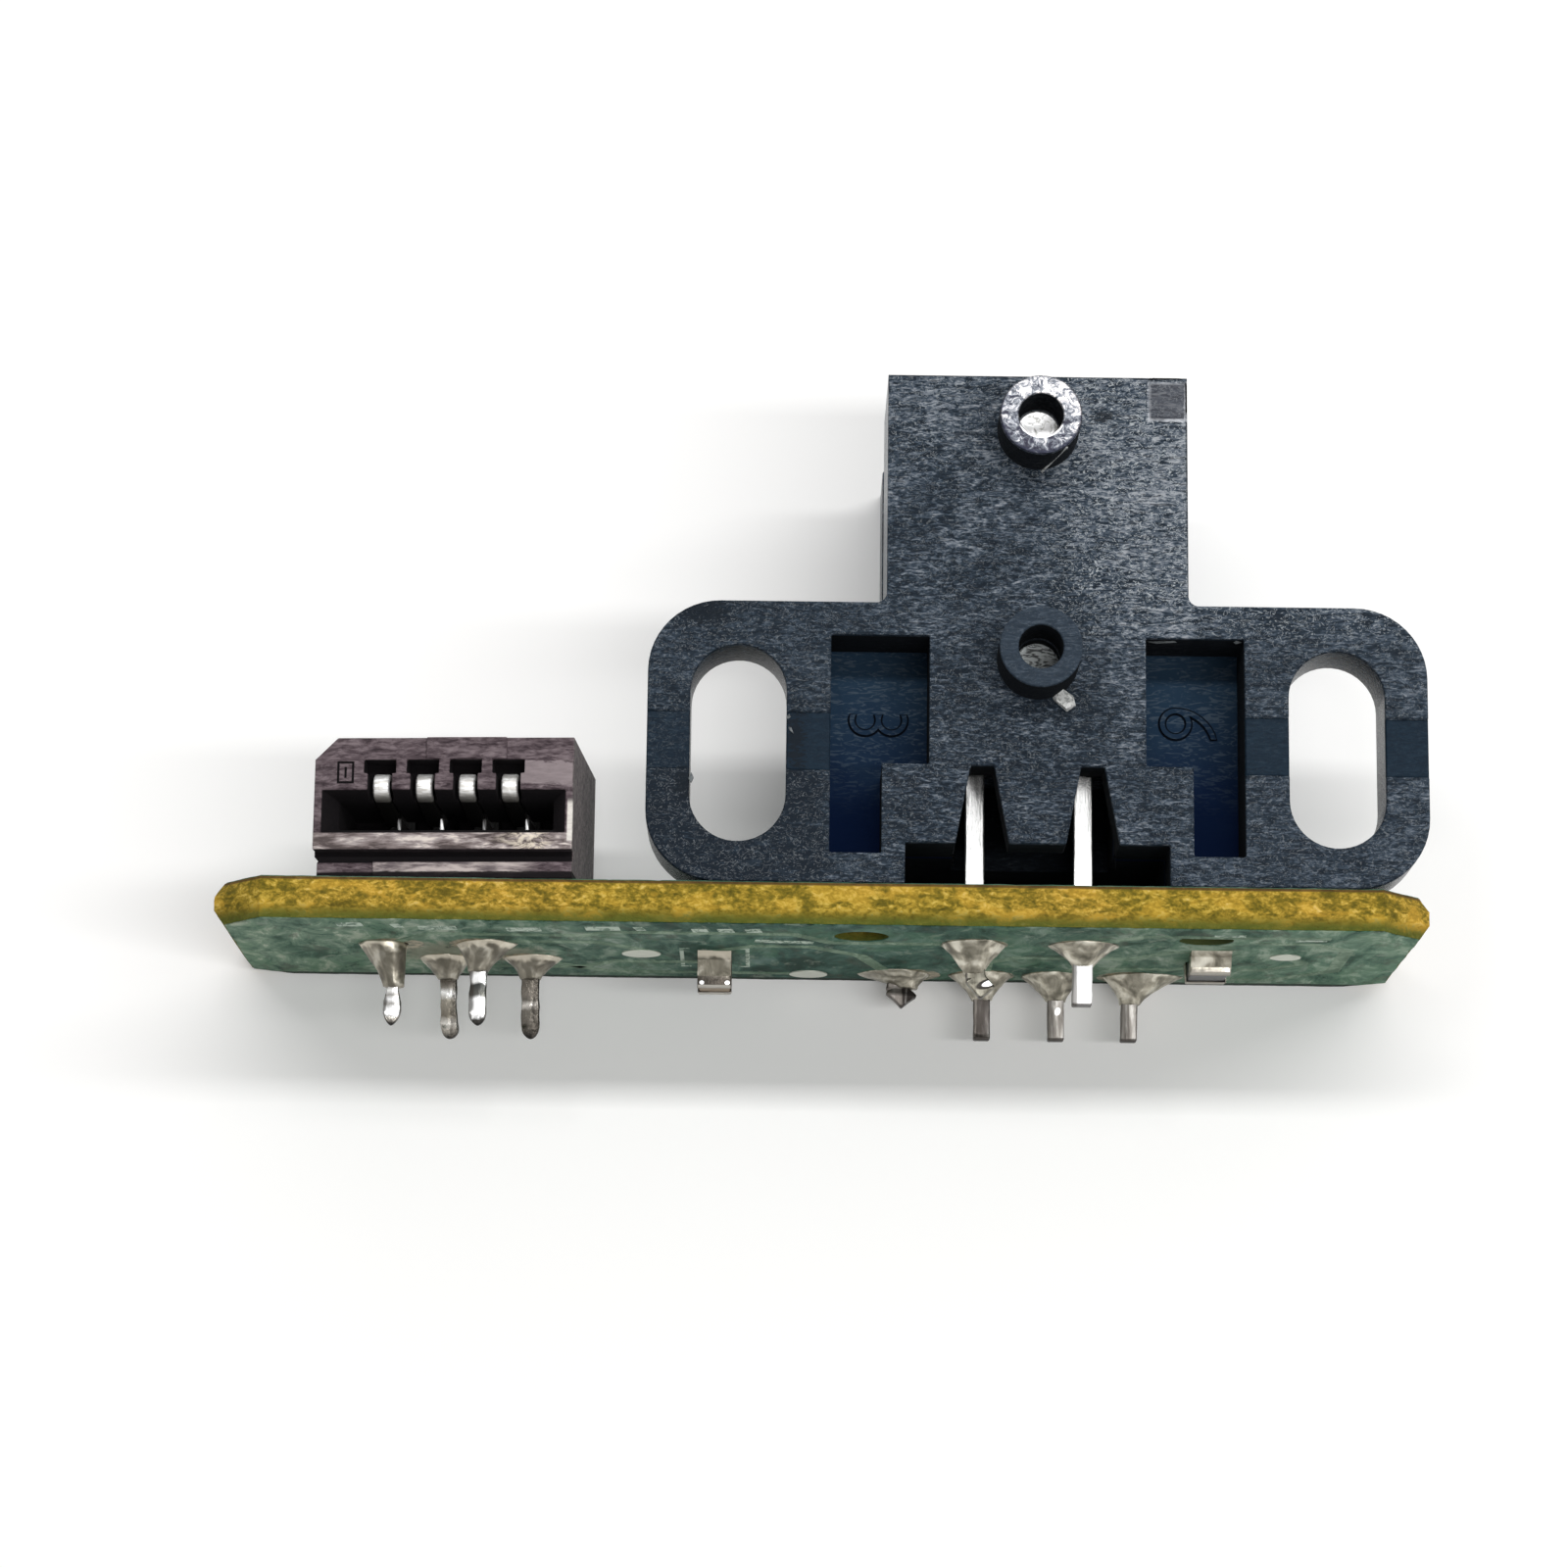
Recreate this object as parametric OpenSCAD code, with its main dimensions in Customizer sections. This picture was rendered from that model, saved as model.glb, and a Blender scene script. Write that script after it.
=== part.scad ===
// Encoder strip sensor: a moulded light barrier and a flat-cable connector soldered to one circuit board.
// X runs along the board, Y up the tower and Z out of the mounting face. The origin lies on that face,
// midway between the two ear slots. The part lies on its back, on the far edge of the board.

/* [Circuit board] */
// Length of the board
board_len = 34.8; // [34:0.1:45]
// Distance from the origin to the right end of the board
board_right = 11.2; // [9:0.1:16]
// Thickness of the laminate
board_t = 1.2; // [0.8:0.1:2]
// Thickness of the solder mask and of the copper on each face
mask_t = 0.03; // [0.02:0.01:0.06]
// Cut at each corner, along the board
corner_cut_x = 1.2; // [0.4:0.1:2]
// Cut at the two front corners, across the board
corner_cut_front = 1.3; // [0.4:0.1:2]
// Cut at the two rear corners, across the board
corner_cut_rear = 0.8; // [0.4:0.1:2]
// How far the middle of the laminate, snapped at its scored ends, stands out beyond both faces
snap_reach = 0.3; // [0.1:0.05:0.5]
// Thickness of the laminate's middle at its snapped ends
snap_t = 0.4; // [0.2:0.05:0.6]

/* [Sensor body] */
// Depth of the body from the mounting face to the back, which is also the width of the board
body_depth = 9.4; // [9:0.1:13]
// Height of the ear slots' centres above the board
seat_h = 4.1; // [3.6:0.1:6]
// Width of the tower
tower_w = 8.82; // [8.7:0.02:10]
// Height of the front arm above the slot centres
front_arm_top = 11.2; // [10.9:0.1:14]
// Height of the rear arm above the slot centres
rear_arm_top = 10.2; // [9.8:0.1:13]
// Thickness of the front arm
front_arm_t = 4.9; // [4.5:0.1:5]
// Width of the gap that the encoder strip runs through
gap_w = 1.8; // [1.2:0.1:2]
// Height of the gap's floor above the slot centres
gap_floor = 4.6; // [4.3:0.1:5.4]
// Wall in front of the emitter
front_wall = 1.4; // [1.1:0.1:1.6]
// Wall between each pocket and the gap
inner_wall = 0.6; // [0.4:0.05:0.8]
// Wall behind the detector
rear_wall = 0.45; // [0.3:0.05:0.7]
// Height of the optical axis above the slot centres
optic_h = 7.2; // [6.9:0.1:7.4]
// Width of the light slit in the inner walls
slit_w = 2.2; // [1:0.1:3]
// Height of the light slit
slit_h = 2.6; // [1:0.1:3]
// Play around each package in its pocket
package_play = 0.05; // [0.02:0.01:0.1]

/* [Mounting ears] */
// Width across both ears
ear_span = 22.7; // [22:0.1:28]
// Height of the ears above the slot centres
ear_top = 4.25; // [3.6:0.05:4.6]
// Thickness of the ears
ear_t = 2; // [1.5:0.1:2.8]
// Corner radius of the ears
ear_r = 2.1; // [1:0.1:2.6]
// Distance between the slot centres
slot_pitch = 17.4; // [17:0.1:18]
// Width of each slot
slot_w = 2.8; // [2.2:0.1:3.2]
// Length of each slot from end to end
slot_len = 5.85; // [4:0.05:6.4]
// Height of the smooth relief across each ear
relief_h = 1.7; // [1:0.1:2.4]
// Height of the relief's middle above the slot centres
relief_mid = 0.07; // [-0.4:0.01:0.4]
// Depth of the relief
relief_depth = 0.05; // [0.03:0.01:0.2]
// Fillet between the tower and the ears
inner_fillet = 0.3; // [0.1:0.05:0.6]

/* [Posts and pegs] */
// Diameter of the two locating posts
post_d = 2.4; // [2:0.1:3]
// Height of the posts above the mounting face
post_h = 1.7; // [1:0.1:3]
// Diameter of the blind hole in each post
post_hole_d = 1.3; // [0.8:0.1:1.6]
// Depth of the blind hole from the post's end
post_hole_depth = 2.4; // [1.2:0.1:2.6]
// Height of the upper post above the slot centres
post_upper = 9.5; // [9:0.1:9.6]
// Height of the lower post above the slot centres
post_lower = 2.55; // [2:0.05:3]
// Distance between the two pegs that locate the body on the board
peg_pitch = 10.06; // [9.9:0.02:10.4]
// Distance of the pegs behind the mounting face
peg_back = 1.85; // [1.4:0.05:2]
// Diameter of the pegs
peg_d = 1.4; // [1:0.1:1.5]
// Length of the pegs inside the board
peg_len = 0.75; // [0.4:0.05:0.78]
// Play between each peg and its hole, on the radius
peg_play = 0.1; // [0.05:0.01:0.15]

/* [Recesses] */
// Distance from the middle to the outer wall of each recess
recess_outer = 6.02; // [5.9:0.02:6.1]
// Distance from the middle to the inner wall of each recess
recess_inner = 3.15; // [3.1:0.05:3.6]
// Width of the narrow lower part of each recess
recess_narrow_w = 1.5; // [1:0.05:2]
// Height of the recess ceiling above the slot centres
recess_top = 3.26; // [2.8:0.02:3.4]
// Depth below the slot centres at which the wide part ends
recess_step = 0.57; // [0.3:0.01:1]
// Depth below the slot centres at which the narrow part ends
recess_bottom = 3.22; // [2.6:0.02:3.3]
// Depth of the recesses behind the mounting face
recess_depth = 2.2; // [1:0.1:2.4]
// Floor left behind the recesses
recess_floor = 1; // [0.6:0.1:1.4]
// Wall left outside the recesses
recess_wall = 0.58; // [0.4:0.02:0.9]
// Length of the moulded digit in each recess
digit_len = 1.7; // [1:0.1:2]
// Stroke width of the moulded digits
digit_stroke = 0.14; // [0.1:0.01:0.2]
// Height of the moulded digits
digit_raise = 0.08; // [0.04:0.01:0.15]
// Side of the square mark at the tower's corner
corner_mark = 1.15; // [0.6:0.05:1.4]
// Distance of the square mark from the tower's edges
corner_mark_inset = 0.06; // [0.03:0.01:0.4]
// Depth of the square mark
corner_mark_depth = 0.06; // [0.03:0.01:0.2]

/* [Lead cut-out] */
// Width of the cut-out above the board
cutout_w = 7.66; // [7.4:0.02:7.8]
// Height of the cut-out above the board
cutout_h = 1.2; // [0.6:0.1:1.5]
// Width of each notch at its foot
notch_foot_w = 1.55; // [1:0.05:1.7]
// Width of each notch at its top
notch_top_w = 0.68; // [0.65:0.01:1]
// Height of each notch above the cut-out
notch_h = 2.3; // [1:0.1:2.6]

/* [Emitter] */
// Width of the emitter package
emitter_w = 4.6; // [4.4:0.1:4.8]
// Height of the emitter package
emitter_h = 4.4; // [4.2:0.1:4.8]
// Height of the emitter package above the optical axis
emitter_above = 2.1; // [1.6:0.1:2.2]
// Height of the emitter's lens
lens_h = 0.6; // [0.3:0.05:0.8]
// Diameter of the lens at its foot
lens_d = 2.6; // [2:0.1:3]
// Distance between the emitter's leads
emitter_pitch = 3.2; // [3:0.05:3.3]
// Distance of all the sensor's leads to the left of the body's middle
leads_left = 0.1; // [0:0.01:0.1]
// Distance of the emitter's leads behind the package's front
emitter_lead_back = 1.5; // [1.2:0.05:1.5]
// Side of the emitter's chip
emitter_die_w = 0.36; // [0.2:0.02:0.6]
// Thickness of the emitter's chip
emitter_die_t = 0.2; // [0.1:0.02:0.24]

/* [Detector] */
// Width of the detector package
detector_w = 7.6; // [7.56:0.02:7.7]
// Height of the detector package
detector_h = 4.4; // [4.2:0.1:4.8]
// Height of the detector package above the optical axis
detector_above = 2; // [1.6:0.1:2.1]
// Distance between neighbouring detector leads
detector_pitch = 2.26; // [2.2:0.01:2.28]
// Distance of the detector's leads behind the middle of the package
detector_lead_back = 0.075; // [0:0.005:0.1]
// Width of the detector's chip
detector_die_w = 2.4; // [1.2:0.1:2.8]
// Height of the detector's chip
detector_die_h = 1.6; // [1:0.1:1.8]
// Thickness of the detector's chip
detector_die_t = 0.2; // [0.15:0.01:0.3]

/* [Leads] */
// Width of the emitter's leads
emitter_lead_w = 0.58; // [0.4:0.02:0.6]
// Width of the detector's leads
detector_lead_w = 0.5; // [0.4:0.02:0.56]
// Thickness of the sensor's leads
lead_t = 0.4; // [0.25:0.01:0.42]
// Length of the sensor's leads inside their package
lead_root = 1; // [0.5:0.1:1.2]
// Length of the straight emitter lead below the board
emitter_tail = 1.8; // [1.2:0.1:3]
// Length of the bent emitter lead below the board, down to its bend
bent_tail = 1.05; // [1.05:0.05:1.6]
// Length of the bent emitter lead's tip
bent_tip = 0.5; // [0.2:0.05:0.8]
// Lean of the bent emitter lead's tip
bent_angle = 38; // [10:1:50]
// Length of the detector leads below the board
detector_tail = 2; // [1.2:0.1:3]
// Length of the cropped detector lead below the board, down to its bend
cropped_tail = 0.5; // [0.4:0.05:0.7]
// Length of the cropped detector lead's tip
cropped_tip = 0.55; // [0.2:0.05:0.8]
// Lean of the cropped detector lead's tip
cropped_angle = 48; // [10:1:50]
// Radius of the board's holes for the sensor's leads
lead_hole_r = 0.45; // [0.4:0.01:0.55]

/* [Connector] */
// Width of the connector housing
conn_w = 7.55; // [7.4:0.05:9]
// Height of the connector housing
conn_h = 4.15; // [4:0.05:5]
// Depth of the connector housing
conn_depth = 5.7; // [5.3:0.1:5.8]
// Clearance between the connector and the sensor's left ear
conn_clear = 2.075; // [1.5:0.025:3]
// Distance of the connector's front behind the mounting face
conn_back = 0.05; // [0:0.05:0.3]
// Skew of the connector about the board's normal
conn_skew = 4; // [0:0.5:5]
// Chamfer of the housing's upper left corner
conn_chamfer = 0.63; // [0.2:0.01:0.8]
// Width of the mouth at the front
mouth_w = 7.16; // [6.8:0.02:7.2]
// Height of the mouth at the front
mouth_h = 1.29; // [1:0.01:1.32]
// Height of the mouth's sill above the board
mouth_sill = 1.31; // [1.2:0.01:1.4]
// Narrowing of the mouth on each side, from the front to the cable space
funnel_side = 0.45; // [0.1:0.05:0.6]
// Narrowing of the mouth at its floor and at its ceiling
funnel_edge = 0.22; // [0.1:0.01:0.3]
// Depth of the mouth's funnel
funnel_depth = 0.7; // [0.4:0.05:0.8]
// Height of the lip below the mouth
lip_h = 0.49; // [0.3:0.01:0.6]
// Height of the undercut below the lip
undercut_h = 0.32; // [0.2:0.01:0.4]
// Depth of the undercut
undercut_depth = 0.4; // [0.3:0.05:1]
// Distance by which the housing's foot stands back from the lip
foot_back = 0.12; // [0.05:0.01:0.3]
// Distance by which the foot's left side stands in
foot_side_in = 0.1; // [0:0.01:0.2]
// Distance by which the foot's left end stands back further
foot_end_back = 0.15; // [0.05:0.01:0.3]
// Length of the foot's left end
foot_end_len = 1.75; // [1:0.05:2.5]
// Height of the band along the housing's upper front edge
band_h = 0.65; // [0.5:0.01:0.68]
// Distance by which the band stands back
band_back = 0.1; // [0.04:0.01:0.2]
// Length of the raised middle of the band
band_mid_len = 2.35; // [1:0.05:3]
// Distance of the raised middle of the band to the right of the housing's middle
band_mid_off = 0.64; // [0:0.02:1]

/* [Connector contacts] */
// Distance between neighbouring contacts
contact_pitch = 1.25; // [1.2:0.01:1.3]
// Width of a contact's spring
contact_w = 0.48; // [0.4:0.01:0.52]
// Thickness of the contacts' sheet
contact_t = 0.2; // [0.15:0.01:0.22]
// Radius of a contact's rounded nose
nose_r = 0.4; // [0.3:0.01:0.48]
// Distance of the nose's tip behind the housing's front
nose_back = 0.3; // [0.1:0.05:0.4]
// Height of the contacts' upper side above the board
contact_top = 3.18; // [3:0.01:3.2]
// Depth at which a contact's rear plate stands
plate_depth = 3.7; // [3.5:0.05:3.8]
// Length of a contact's lower arm along its edge
arm_h = 0.4; // [0.3:0.01:0.45]
// Distance of the lower arm from the middle of its contact
arm_offset = 0.48; // [0.46:0.01:0.5]
// Thickness of the lower arm
arm_t = 0.13; // [0.1:0.01:0.14]
// Distance of the rear row of tails behind the housing
rear_tail_back = 0.6; // [0.5:0.05:0.9]
// Width of the contacts' tails
tail_w = 0.53; // [0.4:0.01:0.56]
// Length of the contacts' tails below the board
contact_tail = 2.45; // [1.5:0.05:3]
// Radius of the board's holes for the contacts' tails
contact_hole_r = 0.4; // [0.36:0.01:0.45]
// Play around each contact in the housing
contact_play = 0.03; // [0.02:0.01:0.05]
// Width of each contact window at its wide upper end
window_w = 0.94; // [0.9:0.01:1]
// Width of each contact window below
window_narrow_w = 0.71; // [0.7:0.01:0.76]
// Height of the window's wide end
window_h = 0.42; // [0.38:0.01:0.46]
// Depth of the window's wide end
window_depth = 0.8; // [0.5:0.05:1]

/* [Solder and pads] */
// Radius of the copper rings around the sensor's leads
sensor_pad_r = 1; // [0.8:0.01:1.1]
// Radius of the copper rings around the contacts' tails
contact_pad_r = 0.88; // [0.7:0.01:1]
// Bare rim of copper around each solder joint
pad_rim = 0.04; // [0.02:0.01:0.1]
// Height of the solder joints on the sensor's leads
sensor_solder_h = 0.85; // [0.5:0.05:0.9]
// Height of the solder joints on the contacts' tails
contact_solder_h = 1.15; // [0.6:0.05:1.3]
// Radius of a solder joint where it ends on its lead
solder_tip_r = 0.37; // [0.36:0.01:0.4]

/* [Test pads] */
// Distance of the left test pad from the board's right end
left_pad_in = 22.74; // [22.4:0.02:23]
// Distance of the left test pad behind the board's near edge
left_pad_back = 5; // [4:0.1:7]
// Distance of the middle test pad from the board's right end
middle_pad_in = 17.73; // [17:0.01:19]
// Distance of the middle test pad in front of the board's far edge
middle_pad_front = 1.2; // [1:0.1:4]
// Distance of the right test pad from the board's right end
right_pad_in = 3.59; // [3.3:0.01:3.9]
// Distance of the right test pad behind the board's near edge
right_pad_back = 4.3; // [3.4:0.1:6]
// Diameter of the left and middle test pads
test_pad_d = 1.16; // [0.8:0.02:1.4]
// Diameter of the right test pad
test_pad_small_d = 0.92; // [0.6:0.02:1.2]
// Height of the test pads' tin above the mask
test_pad_rise = 0.03; // [0.01:0.01:0.06]

/* [Chips] */
// Distance of the capacitor from the board's right end
cap_from_right = 20.55; // [20:0.05:21]
// Distance of the capacitor behind the board's near edge
cap_back = 5.6; // [5:0.1:6.4]
// Length of the capacitor
cap_len = 1.6; // [1.2:0.1:2]
// Width of the capacitor
cap_w = 1; // [0.8:0.05:1.25]
// Height of the capacitor
cap_h = 1; // [0.5:0.05:1.25]
// Distance of the resistor from the board's right end
res_from_right = 5.85; // [5.4:0.05:6]
// Distance of the resistor behind the board's near edge
res_back = 4.8; // [4.7:0.1:5.2]
// Length of the resistor
res_len = 2; // [1.6:0.1:2.4]
// Width of the resistor
res_w = 1.2; // [0.8:0.05:1.4]
// Height of the resistor
res_h = 0.6; // [0.4:0.05:0.8]
// Length of each chip's end cap
cap_end = 0.38; // [0.3:0.01:0.5]
// Thickness of the end caps' metal
cap_skin = 0.04; // [0.02:0.01:0.06]
// Length of copper and solder in front of each end cap
chip_land = 0.4; // [0.3:0.02:0.5]
// Share of a chip's height that its solder climbs
chip_climb = 0.7; // [0.3:0.05:0.9]

/* [Hidden] */
$fn = 64;

// Length by which a cut runs past the face that it opens
over = 0.5;

// Levels of the board, from the top down
mask_top_y = -seat_h;
board_top_y = mask_top_y - mask_t;
board_bottom_y = board_top_y - board_t;
underside_y = board_bottom_y - mask_t;
board_left = board_right - board_len;

// Depths inside the body
emitter_front_z = -front_wall;
emitter_back_z = -(front_arm_t - inner_wall);
gap_front_z = -front_arm_t;
gap_back_z = gap_front_z - gap_w;
detector_front_z = gap_back_z - inner_wall;
detector_back_z = -(body_depth - rear_wall);
emitter_t = emitter_front_z - emitter_back_z - 2 * package_play - lens_h;
emitter_top = optic_h + emitter_above;
detector_top = optic_h + detector_above;
emitter_row_z = emitter_front_z - package_play - emitter_lead_back;
detector_row_z = (detector_front_z + detector_back_z) / 2 - detector_lead_back;
chamber_top = cutout_h - seat_h;
lens_r = (lens_d * lens_d / 4 + lens_h * lens_h) / (2 * lens_h);

// Rows and positions along the board
contacts = 4;
detector_leads = 4;
conn_x = -(ear_span / 2 + conn_clear + conn_w / 2);
nose_depth = nose_back + nose_r;
near_tail_depth = plate_depth + contact_t / 2;
rear_tail_depth = conn_depth + rear_tail_back;

// Test pads: distance from the board's right end, distance behind its near edge, and diameter
test_pads_at = [
    [left_pad_in, left_pad_back, test_pad_d],
    [middle_pad_in, body_depth - middle_pad_front, test_pad_d],
    [right_pad_in, right_pad_back, test_pad_small_d]
];

// The cropped lead leans over just below its solder
cropped_solder_h = cropped_tail - detector_lead_w / 4;

// A block between two corners
module block(low, high) {
    translate(low) cube(high - low);
}

// A round bar that stands on a point, along +Y
module upright(at, r, h) {
    translate(at) rotate([-90, 0, 0]) cylinder(r = r, h = h);
}

// A flat shape drawn in X and Z, made into a sheet that hangs below a level
module sheet_below(level, t) {
    translate([0, level, 0]) rotate([90, 0, 0]) linear_extrude(t) children();
}

// A side profile drawn as depth and height, made into a piece of the given width
module from_side(w) {
    translate([-w / 2, 0, 0]) rotate([0, 90, 0]) linear_extrude(w) children();
}

// A rectangle around the origin with round corners
module round_rect(w, h, r) {
    square([w - 2 * r, h], center = true);
    square([w, h - 2 * r], center = true);
    for (x = [-1, 1], y = [-1, 1]) translate([x * (w / 2 - r), y * (h / 2 - r)]) circle(r);
}

// Places of the sensor's leads
function notch_x(i) = (i - 1.5) * emitter_pitch;
function emitter_x(i) = notch_x(i) - leads_left;
function detector_x(i) = (i - (detector_leads + 1) / 2) * detector_pitch - leads_left;
function contact_x(i) = (i - (contacts + 1) / 2) * contact_pitch;
function in_rear_row(i) = i % 2 == 0;
function tail_depth(i) = in_rear_row(i) ? rear_tail_depth : near_tail_depth;

// The connector's own frame: its front face in the middle, at the top of the board
module at_connector() {
    translate([conn_x, mask_top_y, -conn_back]) rotate([0, -conn_skew, 0]) children();
}

// What is repeated at each lead or tail, on the underside of the board
module at_sensor_leads() {
    for (i = [1:2]) translate([emitter_x(i), 0, emitter_row_z]) children();
    for (i = [1:detector_leads]) translate([detector_x(i), 0, detector_row_z]) children();
}

module at_contact_tails() {
    at_connector() for (i = [1:contacts]) translate([contact_x(i), -mask_top_y, -tail_depth(i)]) children();
}

// Places of the pegs
module at_pegs() {
    for (x = [-1, 1]) translate([x * peg_pitch / 2, 0, -peg_back]) children();
}

// A chip's frame on the underside: its middle, with Y up to the board
module at_capacitor() {
    translate([board_right - cap_from_right, underside_y, -cap_back]) children();
}

module at_resistor() {
    translate([board_right - res_from_right, underside_y, -res_back]) children();
}

// Circuit board

// The board's outline with its corners cut off, and with its ends moved out by a distance
module board_outline(out = 0) {
    left = board_left - out;
    right = board_right + out;
    polygon([
        [board_left + corner_cut_x, 0], [board_right - corner_cut_x, 0], [right, -corner_cut_front],
        [right, corner_cut_rear - body_depth], [board_right - corner_cut_x, -body_depth],
        [board_left + corner_cut_x, -body_depth], [left, corner_cut_rear - body_depth],
        [left, -corner_cut_front]
    ]);
}

// Holes through the board, from well below it to well above it
module board_holes() {
    bore_len = board_t + 2 * mask_t + 2 * over;
    start = underside_y - over;
    at_sensor_leads() upright([0, start, 0], lead_hole_r, bore_len);
    at_contact_tails() upright([0, start, 0], contact_hole_r, bore_len);
    at_pegs() upright([0, start, 0], peg_d / 2 + peg_play, bore_len);
}

module circuit_board() {
    color("#a88a35") difference() {
        hull() {
            sheet_below(board_top_y, board_t) board_outline();
            sheet_below(board_top_y - (board_t - snap_t) / 2, snap_t) board_outline(snap_reach);
        }
        board_holes();
    }
}

module solder_mask_top() {
    color("#2f6b4b") difference() {
        sheet_below(mask_top_y, mask_t) board_outline();
        board_holes();
    }
}

// The copper rings, from the mask's outer face up to the laminate
module pad_discs(grow) {
    at_sensor_leads() upright([0, underside_y - grow, 0], sensor_pad_r, mask_t + grow);
    at_contact_tails() upright([0, underside_y - grow, 0], contact_pad_r, mask_t + grow);
}

module test_discs(grow) {
    for (p = test_pads_at)
        upright([board_right - p[0], underside_y - grow, -p[1]], p[2] / 2, mask_t + grow);
}

// Copper under both ends of a chip
module chip_copper(len, w, grow) {
    for (end = [-1, 1]) translate([0, 0, end * (len - cap_end + chip_land) / 2])
        block([-w / 2, -grow, -(cap_end + chip_land) / 2], [w / 2, mask_t, (cap_end + chip_land) / 2]);
}

module chip_coppers(grow) {
    at_capacitor() chip_copper(cap_len, cap_w, grow);
    at_resistor() chip_copper(res_len, res_w, grow);
}

module solder_mask_underside() {
    color("#4f6f5c") difference() {
        sheet_below(board_bottom_y, mask_t) board_outline();
        board_holes();
        pad_discs(over);
        test_discs(over);
        chip_coppers(over);
    }
}

module lead_pads() {
    color("#b9a06a") difference() {
        pad_discs(0);
        board_holes();
    }
}

module test_pads() {
    color("#a9b2a7") test_discs(test_pad_rise);
}

module chip_pads() {
    color("#b9a06a") chip_coppers(0);
}

// Sensor body

module stroke_ring(r) {
    difference() {
        circle(r);
        circle(r - digit_stroke);
    }
}

// A moulded digit 3 made of two open rings, or a 6 made of a ring and a long arc
module digit(six) {
    ring_r = (digit_len + digit_stroke) / 4;
    ring_y = digit_len / 2 - ring_r;
    arc_r = digit_len - ring_r;
    if (six) {
        translate([0, -ring_y]) stroke_ring(ring_r);
        intersection() {
            translate([arc_r - ring_r, -ring_y]) stroke_ring(arc_r);
            translate([-ring_r, -ring_y]) square([2 * ring_r, digit_len]);
        }
    }
    else difference() {
        for (end = [-1, 1]) translate([0, end * ring_y]) stroke_ring(ring_r);
        translate([-digit_len - ring_r / 3, -digit_len]) square([digit_len, 2 * digit_len]);
    }
}

// The T of the mounting ears, with small fillets where the tower rises out of it
module ear_outline() {
    translate([0, (ear_top - seat_h) / 2]) round_rect(ear_span, ear_top + seat_h, ear_r);
    for (side = [-1, 1]) translate([side * tower_w / 2, ear_top]) difference() {
        translate([side > 0 ? 0 : -inner_fillet, -over]) square([inner_fillet, inner_fillet + over]);
        translate([side * inner_fillet, inner_fillet]) circle(inner_fillet);
    }
}

module body_shell() {
    half = tower_w / 2;
    block_half = recess_outer + recess_wall;
    translate([0, 0, -ear_t]) linear_extrude(ear_t) ear_outline();
    block([-block_half, -seat_h, -(recess_depth + recess_floor)], [block_half, ear_top, 0]);
    block([-half, -seat_h, -front_arm_t], [half, front_arm_top, 0]);
    block([-half, -seat_h, -body_depth], [half, rear_arm_top, -front_arm_t]);
    for (y = [post_lower, post_upper]) translate([0, y, -front_wall / 2])
        cylinder(d = post_d, h = front_wall / 2 + post_h);
    at_pegs() upright([0, -seat_h - peg_len, 0], peg_d / 2, peg_len + recess_wall);
}

module ear_slots() {
    for (side = [-1, 1]) translate([side * slot_pitch / 2, 0, -ear_t - over]) linear_extrude(ear_t + 2 * over) {
        square([slot_w, slot_len - slot_w], center = true);
        for (end = [-1, 1]) translate([0, end * (slot_len - slot_w) / 2]) circle(slot_w / 2);
    }
}

module recesses() {
    for (side = [-1, 1]) mirror([side > 0 ? 0 : 1, 0, 0]) {
        block([recess_inner, -recess_step, -recess_depth], [recess_outer, recess_top, over]);
        block([recess_outer - recess_narrow_w, -recess_bottom, -recess_depth], [recess_outer, 0, over]);
    }
}

module ear_reliefs() {
    for (side = [-1, 1]) mirror([side > 0 ? 0 : 1, 0, 0])
        block([recess_outer, relief_mid - relief_h / 2, -relief_depth],
              [ear_span / 2 + over, relief_mid + relief_h / 2, over]);
}

// The cut-out above the board, with a tapered notch in front of each emitter lead
module lead_cutout() {
    block([-cutout_w / 2, -seat_h - over, -front_wall - over], [cutout_w / 2, chamber_top, over]);
    for (i = [1:2]) translate([notch_x(i), chamber_top, -front_wall - over])
        linear_extrude(front_wall + 2 * over) polygon([
            [-notch_foot_w / 2, -cutout_h / 2], [-notch_foot_w / 2, 0], [-notch_top_w / 2, notch_h],
            [notch_top_w / 2, notch_h], [notch_foot_w / 2, 0], [notch_foot_w / 2, -cutout_h / 2]
        ]);
}

// The pockets for both packages, which open onto the board, and the light slit between them
module pockets() {
    emitter_half = emitter_w / 2 + package_play;
    detector_half = detector_w / 2 + package_play;
    block([-detector_half, -seat_h - over, detector_back_z], [detector_half, chamber_top, emitter_front_z]);
    block([-emitter_half, chamber_top - over, emitter_back_z], [emitter_half, emitter_top, emitter_front_z]);
    block([-detector_half, chamber_top - over, detector_back_z], [detector_half, detector_top, detector_front_z]);
    block([-slit_w / 2, optic_h - slit_h / 2, detector_front_z - over],
          [slit_w / 2, optic_h + slit_h / 2, emitter_back_z + over]);
}

module corner_square() {
    centre = corner_mark_inset + corner_mark / 2;
    translate([tower_w / 2 - centre, front_arm_top - centre, -corner_mark_depth])
        linear_extrude(corner_mark_depth + over) round_rect(corner_mark, corner_mark, corner_mark / 6);
}

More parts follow.
